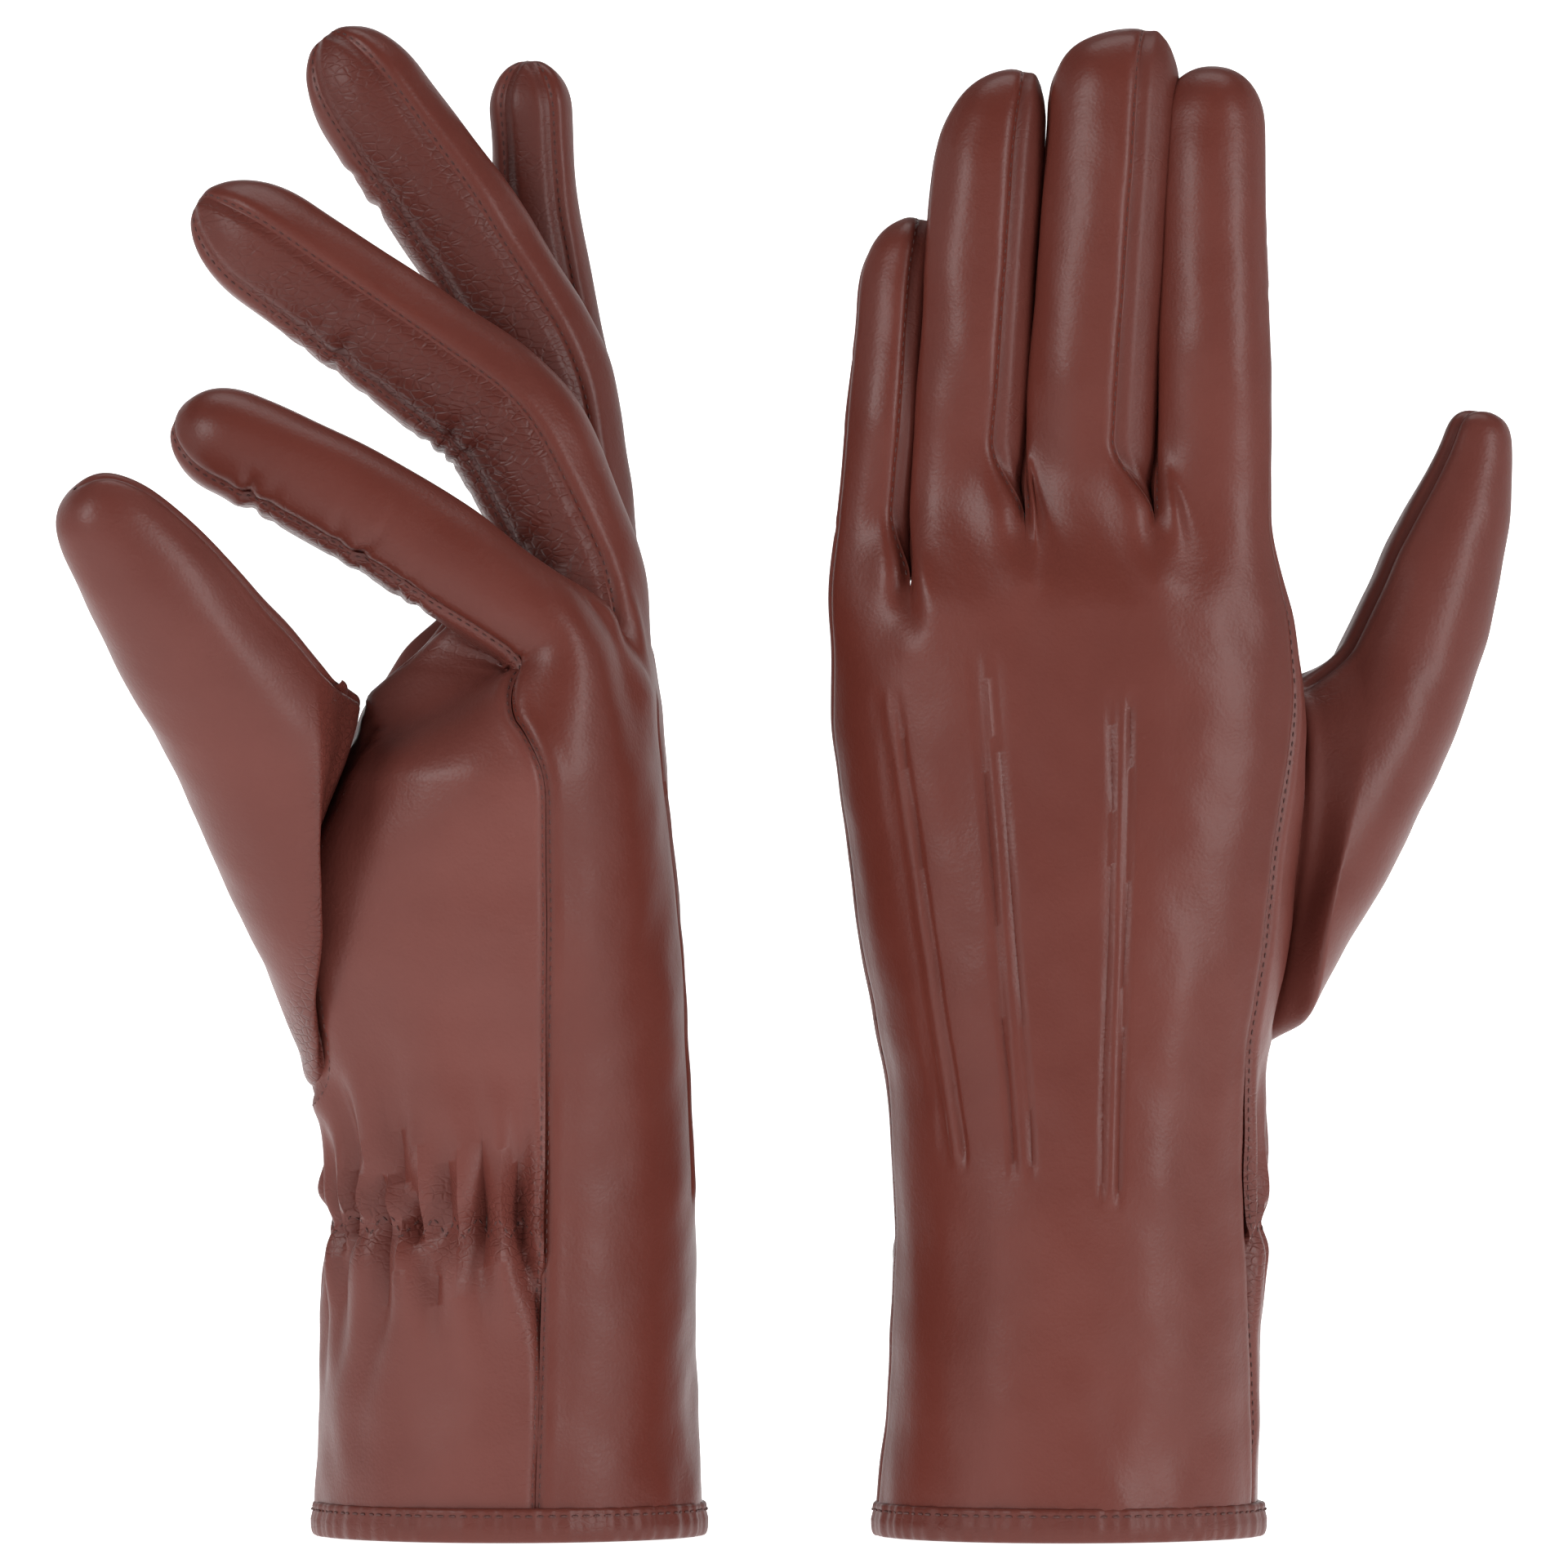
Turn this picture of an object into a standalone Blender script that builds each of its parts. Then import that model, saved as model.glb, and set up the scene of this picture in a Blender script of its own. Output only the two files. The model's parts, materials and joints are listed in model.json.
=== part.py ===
# A pair of leather dress gloves, standing on their cuffs as if worn.
# Metres, +Z up, origin under the middle of the pair. Sizes below are in millimetres.
#
# Each glove is drawn in its own hand frame: u points to the thumb side, n out of the palm,
# w up the fingers. Angles round a section start at u and turn towards n, so 90 is the palm
# and 270 the back of the hand.
import math

import bmesh
import bpy
from mathutils import Vector

MM = 0.001

LEATHER = 1.2  # leather with its lining glued in, as each wall is
LINING = 0.6
ELASTIC = 0.8
SEAM_GAP = 1.0  # between two pieces that a seam joins
PANEL_GAP = 1.5  # at the side seams, where the walls lean towards each other
LAYER_GAP = 0.6  # between two layers of a wall
HINGE_GAP = 0.8  # left at a fold, past what the motion needs

# height, half width, half depth, shift to the thumb side, shift to the palm, squareness
HAND = [
    (0.0, 33.4, 33.6, -1.3, 0.4, 2.0),
    (8.0, 33.2, 33.4, -1.2, 0.4, 2.0),
    (30.0, 32.0, 32.4, -0.2, -0.2, 2.0),
    (54.0, 31.4, 31.4, 0.4, -0.7, 2.0),
    (79.0, 33.0, 31.0, 0.2, -0.5, 2.1),
    (100.0, 36.8, 29.5, 0.0, -0.4, 2.2),
    (124.0, 40.2, 27.0, -0.2, -0.8, 2.4),
    (144.0, 41.0, 24.5, -1.0, -1.5, 2.6),
    (164.0, 38.9, 17.5, -2.6, -6.0, 2.8),
    (185.0, 37.5, 12.5, -3.2, -8.5, 3.0),
]

BINDING = {"height": 6.0, "stand": 0.9, "wall": 2.4}
WRIST_BAND = {"low": 50.0, "high": 58.0, "start": 20.0, "end": 160.0, "count": 14}
SLEEVE = {"low": 8.0, "high": 146.0}
PANEL_TURN = 136.0  # up to here the panels are even; above it they run to each finger's fold
SIDE_SEAM = {"thumb": -18.0, "little": 186.0}  # angles round the hand
FORK = 34.0  # half the angle that a fourchette takes on a finger's side
OUTER_SEAM = 8.0  # how far past the outer side the index and little fingers' own seams lie
SIDE_SHARE = 0.995  # a panel's last column across the hand, as a share of half its width
SHEET_TURN = 25.0  # the widest facet round a finger
TOP_ROWS = (0.33, 0.66, 1.0)  # rows above PANEL_TURN, as shares of the way up

# half: half the finger's width; depth: half its depth
# hinge: the root fold's place to the palm and up; reach: root to middle joint, and on to the tip
# lean: to the thumb side; rest: how far root, middle joint and end are bent; root, middle: travel
LEFT_FINGERS = {
    "index": {"half": 9.6, "depth": 9.4, "hinge": (-8.0, 182.0), "reach": (31.0, 41.0),
              "lean": 0.4, "rest": (3, 5, 6), "root": (-12, 70), "middle": (-8, 80)},
    "middle": {"half": 10.8, "depth": 9.8, "hinge": (-8.5, 183.0), "reach": (34.0, 44.5),
               "lean": 3.4, "rest": (3, 5, 6), "root": (-12, 70), "middle": (-8, 80)},
    "ring": {"half": 9.4, "depth": 9.4, "hinge": (-8.0, 182.0), "reach": (31.0, 41.0),
             "lean": 4.6, "rest": (3, 5, 6), "root": (-12, 70), "middle": (-8, 80)},
    "little": {"half": 6.0, "depth": 8.0, "hinge": (-6.5, 171.0), "reach": (25.0, 33.0),
               "lean": 4.2, "rest": (4, 5, 6), "root": (-12, 70), "middle": (-8, 80)},
}
RIGHT_FINGERS = {
    "index": {"half": 9.6, "depth": 9.6, "hinge": (-8.5, 154.5), "reach": (34.0, 42.0),
              "lean": 0.0, "rest": (54, 7, 3), "root": (-58, 12), "middle": (-14, 60)},
    "middle": {"half": 10.6, "depth": 10.6, "hinge": (-13.5, 166.0), "reach": (31.0, 64.0),
               "lean": 0.0, "rest": (29, 28, 0), "root": (-36, 32), "middle": (-30, 45)},
    "ring": {"half": 9.4, "depth": 9.6, "hinge": (-13.0, 174.0), "reach": (30.0, 66.0),
             "lean": 0.0, "rest": (14, 18, 3), "root": (-22, 45), "middle": (-30, 50)},
    "little": {"half": 6.8, "depth": 7.4, "hinge": (-14.5, 172.0), "reach": (33.0, 50.0),
               "lean": 1.0, "rest": (10, 0, -7), "root": (-18, 60), "middle": (-10, 70)},
}
KNUCKLE_INSET = 1.3  # from the hand's thumb side at the knuckles to the index finger
LANE_GAP = 1.0  # between two neighbouring fingers
FINGER_TAPER = 0.17  # how much a finger narrows from its root to its tip
TAPER_POWER = 1.4  # over 1, most of it is towards the tip
TIP_START = 5.0  # from the middle fold's edge to the next ring
TIP_ROUNDING = 1.15  # length of a rounded fingertip, as a share of half the finger's width
TIP_RINGS = (1.0, 0.62, 0.32, 0.12, 0.02)  # rings of a fingertip, as shares of that length
SEAM_MARGIN = 8.0  # angle between a side seam and the panel's next column
ROUND_COUNT = 36  # points round the hand
LINING_COUNT = 24

# the thumb's middle line as (u, n, w) with its radius, from inside the hand to the tip
LEFT_THUMB = {
    "line": [((27.5, 4.5, 97), 14.5), ((37.5, 9.8, 113), 14.6), ((44.5, 13.6, 125), 13.8),
             ((51, 17, 136), 12.9), ((55.3, 19.5, 146), 12.4), ((60.2, 22.6, 158.5), 11.5),
             ((63.6, 24.5, 167), 10.4), ((67.3, 26.5, 178.5), 8.4), ((69.6, 27.8, 188.5), 5.8),
             ((70.5, 28.4, 194.5), 1.2)],
    "root": (-10, 14), "tip": (-12, 55),
}
RIGHT_THUMB = {
    "line": [((17, 10, 96), 14.5), ((25.5, 22, 110), 16.0), ((34, 33.6, 124.3), 15.8),
             ((40.5, 42.0, 137), 15.2), ((45.5, 49.6, 149), 14.2), ((49.5, 57.6, 159.8), 12.9),
             ((52, 66, 170), 11.0), ((53.5, 71.6, 177), 8.8), ((54.5, 75, 181.3), 5.4),
             ((55, 76.4, 183.6), 1.2)],
    "root": (-10, 14), "tip": (-12, 40),
}
THUMB_FOLDS = (2, 5)  # places in the line where the thumb's root and its tip bend
THUMB_CLEARANCE = 4.0  # between the hand and the part of the thumb that swings
THUMB_COUNT = 16
TIP_HOLE = 0.12  # what is left open where the seams end at a finger's tip

GLOVES = {
    "left": {"place": (50.8, 10.1), "u": (1, 0, 0), "n": (0, 1, 0), "fingers": LEFT_FINGERS,
             "thumb": LEFT_THUMB},
    "right": {"place": (-46.8, 10.1), "u": (0, -1, 0), "n": (-1, 0, 0), "fingers": RIGHT_FINGERS,
              "thumb": RIGHT_THUMB},
}

# colour, roughness
FINISHES = {
    "glove_leather": ((0.162, 0.043, 0.033), 0.38),
    "palm_leather": ((0.150, 0.040, 0.031), 0.42),
    "fork_leather": ((0.120, 0.030, 0.024), 0.44),
    "edge_binding": ((0.135, 0.034, 0.026), 0.40),
    "elastic_band": ((0.060, 0.018, 0.015), 0.80),
    "knit_lining": ((0.090, 0.030, 0.026), 0.90),
}


def clear_scene():
    for obj in list(bpy.data.objects):
        bpy.data.objects.remove(obj, do_unlink=True)


def finish(name):
    if name in bpy.data.materials:
        return bpy.data.materials[name]
    colour, roughness = FINISHES[name]
    material = bpy.data.materials.new(name)
    material.use_nodes = True
    shader = material.node_tree.nodes["Principled BSDF"]
    shader.inputs["Base Color"].default_value = (*colour, 1.0)
    shader.inputs["Roughness"].default_value = roughness
    shader.inputs["Metallic"].default_value = 0.0
    return material


def blend(low, high, share):
    return low + (high - low) * share


def world(glove, u, n, w):
    """A point of the hand frame, in metres."""
    x, y = glove["place"]
    return (Vector((x, y, w)) + Vector(glove["u"]) * u + Vector(glove["n"]) * n) * MM


def hand_section(height):
    """The hand's section at a height: half width, half depth, both shifts and squareness."""
    for low, high in zip(HAND, HAND[1:]):
        if height <= high[0]:
            break
    share = (height - low[0]) / (high[0] - low[0])
    return [blend(a, b, share) for a, b in zip(low[1:], high[1:])]


def round_point(half_width, half_depth, angle, squareness=2.0):
    """A point of a rounded section, from its middle."""
    c, s = math.cos(math.radians(angle)), math.sin(math.radians(angle))
    power = 2.0 / squareness
    across = half_width * math.copysign(abs(c) ** power, c)
    deep = half_depth * math.copysign(abs(s) ** power, s)
    return across, deep


def hand_point(glove, height, angle, inset=0.0):
    width, depth, shift_u, shift_n, squareness = hand_section(height)
    across, deep = round_point(width - inset, depth - inset, angle, squareness)
    return world(glove, across + shift_u, deep + shift_n, height)


def new_object(name, mesh, body, finish_name, smooth=True):
    """An object whose origin is its body's pivot."""
    obj = bpy.data.objects.new(name, mesh)
    bpy.context.scene.collection.objects.link(obj)
    mesh.materials.append(finish(finish_name))
    obj.parent = body
    if smooth:
        mesh.shade_smooth()
        mesh.set_sharp_from_angle(angle=math.radians(50))
    return obj


def pivot(name, point, parent=None):
    """An empty on a body's hinge, holding the body's pieces."""
    empty = bpy.data.objects.new(name, None)
    bpy.context.scene.collection.objects.link(empty)
    empty["point"] = point
    empty.parent = parent
    empty.location = point - Vector(parent["point"]) if parent else point
    return empty


def grid_mesh(name, rows, origin, middle_of, closed_round=False, caps=False):
    """A lofted sheet through rows of points, its faces turned away from the middle line."""
    bm = bmesh.new()
    made = [[bm.verts.new(point - origin) for point in row] for row in rows]
    count = len(rows[0])
    last = count if closed_round else count - 1
    for low, high in zip(made, made[1:]):
        for i in range(last):
            j = (i + 1) % count
            bm.faces.new((low[i], low[j], high[j], high[i]))
    if caps:
        bm.faces.new(made[0])
        bm.faces.new(made[-1][::-1])
    bm.normal_update()
    bm.faces.ensure_lookup_table()
    outward = 0.0
    for face in bm.faces:
        point = face.calc_center_median() + origin
        outward += face.normal.dot(point - middle_of(point))
    if caps:
        bmesh.ops.recalc_face_normals(bm, faces=bm.faces)
    elif outward < 0:
        bmesh.ops.reverse_faces(bm, faces=bm.faces)
    mesh = bpy.data.meshes.new(name)
    bm.to_mesh(mesh)
    bm.free()
    return mesh


def wall(obj, thickness):
    """Gives a sheet its thickness, inwards."""
    solid = obj.modifiers.new("Wall", "SOLIDIFY")
    solid.thickness = thickness * MM
    solid.offset = -1.0
    solid.use_even_offset = True
    return obj


def cut(obj, cutter):
    hole = obj.modifiers.new("Cut", "BOOLEAN")
    hole.operation = "DIFFERENCE"
    hole.object = cutter


def hide(obj):
    obj.hide_render = True
    obj.display_type = "WIRE"
    return obj


def spread(first, last, count):
    return [blend(first, last, i / (count - 1)) for i in range(count)]


def sheet(name, rows, body, finish_name, thickness, middle_of):
    """One piece of leather with its wall."""
    mesh = grid_mesh(name, rows, Vector(body["point"]), middle_of)
    return wall(new_object(name, mesh, body, finish_name), thickness)


def hand_middle(glove):
    def middle(point):
        width, depth, shift_u, shift_n, squareness = hand_section(point.z / MM)
        return world(glove, shift_u, shift_n, point.z / MM)

    return middle


def place_lanes(fingers):
    """Sets the fingers side by side across the hand, from its thumb side."""
    top = HAND[-1]
    edge = top[1] + top[3] - KNUCKLE_INSET
    for finger in fingers.values():
        finger["lane"] = (edge - finger["half"], finger["half"])
        edge -= 2 * finger["half"] + LANE_GAP


def lane_edges(finger):
    """The finger's two sides across the hand, little side first."""
    middle, half = finger["lane"]
    return middle - half, middle + half


def fold_room(finger, index, side):
    """How far a fold's two edges keep back from the hinge, on the palm's side or the back's."""
    bent = finger["rest"][index]
    low, high = finger[("root", "middle")[index]]
    turn = bent + high if side == "palm" else -(bent + low)
    return finger["depth"] * math.tan(math.radians(max(turn, 0) / 2)) + HINGE_GAP


def panel_columns(glove, side):
    """(angle, top height) of each column of a panel, stepped where one finger's lane ends."""
    top = HAND[-1][0]
    width, depth, shift_u, shift_n, squareness = hand_section(top)
    columns = []
    for name in ("index", "middle", "ring", "little"):
        finger = glove["fingers"][name]
        low, high = lane_edges(finger)
        height = finger["hinge"][1] - fold_room(finger, 0, side)
        for across in spread(high, low, 4):
            share = max(-SIDE_SHARE, min(SIDE_SHARE, (across - shift_u) / width))
            angle = math.degrees(math.acos(math.copysign(abs(share) ** (squareness / 2), share)))
            angle = angle if side == "palm" else 360 - angle
            # a wide set of fingers reaches past the hand's side, which takes one column
            if not columns or columns[-1][0] != angle:
                columns.append((angle, height))
    trim = trim_angle(width, PANEL_GAP)
    seam = SIDE_SEAM["thumb"] + trim
    other = SIDE_SEAM["little"] - trim
    if side == "back":
        seam = 360 + SIDE_SEAM["thumb"] - trim
        other = SIDE_SEAM["little"] + trim
    first, last = min(seam, other) + SEAM_MARGIN, max(seam, other) - SEAM_MARGIN
    inside = [c for c in columns if first < c[0] < last]
    return [(seam, inside[0][1]), *inside, (other, inside[-1][1])]


def trim_angle(radius, gap=SEAM_GAP):
    """Half a seam's gap, as an angle."""
    return math.degrees(gap / 2 / radius)


def filled(columns, step=12.0):
    """The columns with more between them, so that no facet is wide."""
    full = [columns[0]]
    for (first, top), (second, other) in zip(columns, columns[1:]):
        count = max(1, math.ceil(abs(second - first) / step))
        full += [(blend(first, second, i / count), top) for i in range(1, count)]
        full.append((second, other))
    return full


def hand_panel(glove, side, name, body):
    columns = filled(panel_columns(glove, side))
    low = BINDING["height"] + SEAM_GAP
    heights = [h[0] for h in HAND if low < h[0] < PANEL_TURN]
    rows = []
    for height in [low, *heights]:
        rows.append([hand_point(glove, height, angle) for angle, top in columns])
    for share in TOP_ROWS:
        rows.append([hand_point(glove, blend(heights[-1], top, share), a) for a, top in columns])
    finish_name = "glove_leather" if side == "back" else "palm_leather"
    return sheet(name, rows, body, finish_name, LEATHER, hand_middle(glove))


def cuff_binding(glove, name, body):
    """The folded strip round the hem, flat underneath."""
    width, depth, shift_u, shift_n, squareness = hand_section(0.0)
    grown = -BINDING["stand"]
    rows = []
    for height in (0.0, BINDING["height"]):
        row = []
        for i in range(ROUND_COUNT):
            across, deep = round_point(width - grown, depth - grown, 360 * i / ROUND_COUNT)
            row.append(world(glove, across + shift_u, deep + shift_n, height))
        rows.append(row)
    mesh = grid_mesh(name, rows, Vector(body["point"]), hand_middle(glove), closed_round=True)
    return wall(new_object(name, mesh, body, "edge_binding"), BINDING["wall"])


def wrist_elastic(glove, name, body):
    inset = LEATHER + LAYER_GAP
    heights = (WRIST_BAND["low"], WRIST_BAND["high"])
    angles = spread(WRIST_BAND["start"], WRIST_BAND["end"], WRIST_BAND["count"])
    rows = [[hand_point(glove, h, angle, inset) for angle in angles] for h in heights]
    return sheet(name, rows, body, "elastic_band", ELASTIC, hand_middle(glove))


def lining_sleeve(glove, name, body):
    inset = LEATHER + LAYER_GAP + ELASTIC + LAYER_GAP
    heights = [SLEEVE["low"], *[h[0] for h in HAND if SLEEVE["low"] < h[0] < SLEEVE["high"]]]
    heights.append(SLEEVE["high"])
    angles = [360 * i / LINING_COUNT for i in range(LINING_COUNT)]
    rows = [[hand_point(glove, h, angle, inset) for angle in angles] for h in heights]
    mesh = grid_mesh(name, rows, Vector(body["point"]), hand_middle(glove), closed_round=True)
    return wall(new_object(name, mesh, body, "knit_lining"), LINING)


def finger_frame(finger, bend):
    """A finger's direction, its thumb side and its palm side, in the hand frame's numbers."""
    lean, turn = math.radians(finger["lean"]), math.radians(bend)
    up_n, up_w = math.sin(turn), math.cos(turn)
    along = Vector((math.sin(lean), math.cos(lean) * up_n, math.cos(lean) * up_w))
    side = Vector((math.cos(lean), -math.sin(lean) * up_n, -math.sin(lean) * up_w))
    palm = Vector((0.0, up_w, -up_n))
    return along, side, palm


def finger_joint(finger):
    """The middle joint's place in the hand frame."""
    along = finger_frame(finger, finger["rest"][0])[0]
    root = Vector((finger["lane"][0], *finger["hinge"]))
    return root + along * finger["reach"][0]


def taper(finger, distance):
    """A finger's size at a distance from its root, as a share of its size there."""
    total = sum(finger["reach"])
    share = 1.0 - FINGER_TAPER * (distance / total) ** TAPER_POWER
    rounding = TIP_ROUNDING * finger["half"]
    past = (distance - (total - rounding)) / rounding
    return share * math.sqrt(max(1.0 - max(past, 0.0) ** 2, TIP_HOLE**2))


def finger_station(finger, distance):
    """Middle point, side and palm vectors and size at a distance from the root fold."""
    reach, rest = finger["reach"], finger["rest"]
    root = Vector((finger["lane"][0], *finger["hinge"]))
    if distance <= reach[0]:
        along, side, palm = finger_frame(finger, rest[0])
        return root + along * distance, side, palm, taper(finger, distance)
    past = distance - reach[0]
    end = 0.5 * reach[1]
    along, side, palm = finger_frame(finger, rest[0] + rest[1])
    point = finger_joint(finger) + along * min(past, end)
    if past > end:
        along, side, palm = finger_frame(finger, sum(rest))
        point += along * (past - end)
    return point, side, palm, taper(finger, distance)


def finger_rows(glove, finger, distances, first, last, count):
    rows = []
    for distance in distances:
        middle, side, palm, size = finger_station(finger, distance)
        width, depth = finger["lane"][1] * size, finger["depth"] * size
        trim = min(trim_angle((width + depth) / 2), (last - first) / 5)
        row = []
        for angle in spread(first + trim, last - trim, count):
            across, deep = round_point(width, depth, angle)
            row.append(world(glove, *(middle + side * across + palm * deep)))
        rows.append(row)
    return rows


def finger_middle(glove, finger, distances):
    points = [world(glove, *finger_station(finger, d)[0]) for d in distances]

    def middle(point):
        return min(points, key=lambda p: (p - point).length)

    return middle


def finger_sheet(glove, finger, name, body, distances, arc, finish_name):
    steps = max(3, round((arc[1] - arc[0]) / SHEET_TURN) + 1)
    rows = finger_rows(glove, finger, distances, *arc, steps)
    middle = finger_middle(glove, finger, spread(distances[0], distances[-1], 12))
    return sheet(name, rows, body, finish_name, LEATHER, middle)


def finger_arcs(which):
    """The arcs that back, palm and fourchettes take round a finger."""
    back = [180 + FORK, 360 - FORK]
    palm = [FORK, 180 - FORK]
    forks = {"thumb_fork": (-FORK, FORK), "little_fork": (180 - FORK, 180 + FORK)}
    if which == "index":
        back[1] = 360 - OUTER_SEAM
        palm[0] = -OUTER_SEAM
        del forks["thumb_fork"]
    if which == "little":
        back[0] = 180 + OUTER_SEAM
        palm[1] = 180 + OUTER_SEAM
        del forks["little_fork"]
    return back, palm, forks


def build_finger(side, glove, which, hand_body):
    finger = glove["fingers"][which]
    label = f"{side}_{which}"
    reach = finger["reach"]
    root = world(glove, finger["lane"][0], *finger["hinge"])
    lower = pivot(f"{label}_root_fold", root, hand_body)
    tip = pivot(f"{label}_middle_fold", world(glove, *finger_joint(finger)), lower)
    back, palm, forks = finger_arcs(which)
    rooms = {s: [fold_room(finger, i, s) for i in (0, 1)] for s in ("palm", "back")}
    total = sum(reach)

    for part, arc, finish_name in (("back", back, "glove_leather"), ("palm", palm, "palm_leather")):
        room = rooms[part]
        span = spread(room[0], reach[0] - room[1], 3)
        finger_sheet(glove, finger, f"{label}_{part}", lower, span, arc, finish_name)
        start = reach[0] + room[1]
        rounding = TIP_ROUNDING * finger["half"]
        ends = [total - rounding * share for share in TIP_RINGS]
        tip_arc = (0, 180) if part == "palm" else (180, 360)
        middle_fold = reach[0] + 0.5 * reach[1]
        places = [d for d in (start, start + TIP_START, middle_fold) if d < ends[0] - 1]
        finger_sheet(glove, finger, f"{label}_tip_{part}", tip, [*places, *ends], tip_arc, finish_name)

    for fork, arc in forks.items():
        share = math.sin(math.radians(FORK))
        start, end = [(rooms["palm"][i] - HINGE_GAP) * share + HINGE_GAP for i in (0, 1)]
        span = spread(start, reach[0] - end, 3)
        finger_sheet(glove, finger, f"{label}_{fork}", lower, span, arc, "fork_leather")


def thumb_ring(glove, line, i, radius):
    """A round section across the thumb's line at one of its places."""
    middle = Vector(line[i][0])
    before, after = Vector(line[max(i - 1, 0)][0]), Vector(line[min(i + 1, len(line) - 1)][0])
    along = (after - before).normalized()
    side = along.cross(Vector((0, 1, 0))).normalized()
    other = along.cross(side)
    row = []
    for k in range(THUMB_COUNT):
        turn = math.radians(360 * k / THUMB_COUNT)
        away = side * math.cos(turn) + other * math.sin(turn)
        row.append(world(glove, *(middle + away * radius)))
    return row


def moved_row(row, step):
    return [point + step for point in row]


def thumb_tube(glove, name, body, rings):
    def middle(point):
        return min((sum(r, Vector()) / len(r) for r in rings), key=lambda p: (p - point).length)

    mesh = grid_mesh(name, rings, Vector(body["point"]), middle, closed_round=True)
    return wall(new_object(name, mesh, body, "palm_leather"), LEATHER)


def thumb_rings(glove, line, first, last, room_low, room_high):
    """The rings between two places of the line, kept back from both ends."""
    rings = [thumb_ring(glove, line, i, line[i][1]) for i in range(first, last + 1)]
    along_low = (world(glove, *line[first + 1][0]) - world(glove, *line[first][0])).normalized()
    along_high = (world(glove, *line[last][0]) - world(glove, *line[last - 1][0])).normalized()
    rings[0] = moved_row(rings[0], along_low * room_low * MM)
    rings[-1] = moved_row(rings[-1], -along_high * room_high * MM)
    return rings


def thumb_core(glove, name, body, inset, last):
    """A closed shape through the thumb's inside, to open what it passes."""
    line = glove["thumb"]["line"]
    rings = [thumb_ring(glove, line, i, line[i][1] - inset) for i in range(last + 1)]
    mesh = grid_mesh(name, rings, Vector(body["point"]), lambda p: p, closed_round=True, caps=True)
    return hide(new_object(name, mesh, body, "palm_leather", smooth=False))


def hand_core(glove, name, body, grown):
    """The hand's outside as a closed shape, to trim what stands on it."""
    heights = [h[0] for h in HAND]
    angles = [360 * i / ROUND_COUNT for i in range(ROUND_COUNT)]
    rows = [[hand_point(glove, h, angle, -grown) for angle in angles] for h in heights]
    mesh = grid_mesh(name, rows, Vector(body["point"]), lambda p: p, closed_round=True, caps=True)
    return hide(new_object(name, mesh, body, "palm_leather", smooth=False))


def thumb_room(line, place, travel):
    low, high = travel
    return line[place][1] * math.tan(math.radians(max(-low, high) / 2)) + HINGE_GAP


def build_thumb(side, glove, hand_body, pierced):
    thumb = glove["thumb"]
    line = thumb["line"]
    root_place, tip_place = THUMB_FOLDS
    root = pivot(f"{side}_thumb_root_fold", world(glove, *line[root_place][0]), hand_body)
    tip = pivot(f"{side}_thumb_tip_fold", world(glove, *line[tip_place][0]), root)
    root_room = thumb_room(line, root_place, thumb["root"])
    tip_room = thumb_room(line, tip_place, thumb["tip"])

    collar = thumb_tube(
        glove, f"{side}_thumb_gusset", hand_body, thumb_rings(glove, line, 0, root_place, 0.0, root_room)
    )
    cut(collar, hand_core(glove, f"{side}_hand_core", hand_body, SEAM_GAP))
    lower = thumb_tube(
        glove, f"{side}_thumb_lower", root,
        thumb_rings(glove, line, root_place, tip_place, root_room, tip_room),
    )
    cut(lower, hand_core(glove, f"{side}_hand_room", hand_body, THUMB_CLEARANCE))
    thumb_tube(
        glove, f"{side}_thumb_tip", tip,
        thumb_rings(glove, line, tip_place, len(line) - 1, tip_room, 0.0),
    )
    bore = thumb_core(glove, f"{side}_thumb_bore", hand_body, LEATHER + SEAM_GAP, root_place)
    for obj in pierced:
        cut(obj, bore)


def build_glove(side, glove):
    body = pivot(f"{side}_hand", world(glove, 0.0, 0.0, 0.0))
    hand_panel(glove, "back", f"{side}_back_panel", body)
    palm = hand_panel(glove, "palm", f"{side}_palm_panel", body)
    cuff_binding(glove, f"{side}_cuff_binding", body)
    wrist_elastic(glove, f"{side}_wrist_elastic", body)
    lining = lining_sleeve(glove, f"{side}_lining_sleeve", body)
    build_thumb(side, glove, body, (palm, lining))
    for which in glove["fingers"]:
        build_finger(side, glove, which, body)


clear_scene()
for glove_side, glove_data in GLOVES.items():
    place_lanes(glove_data["fingers"])
    build_glove(glove_side, glove_data)
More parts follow.
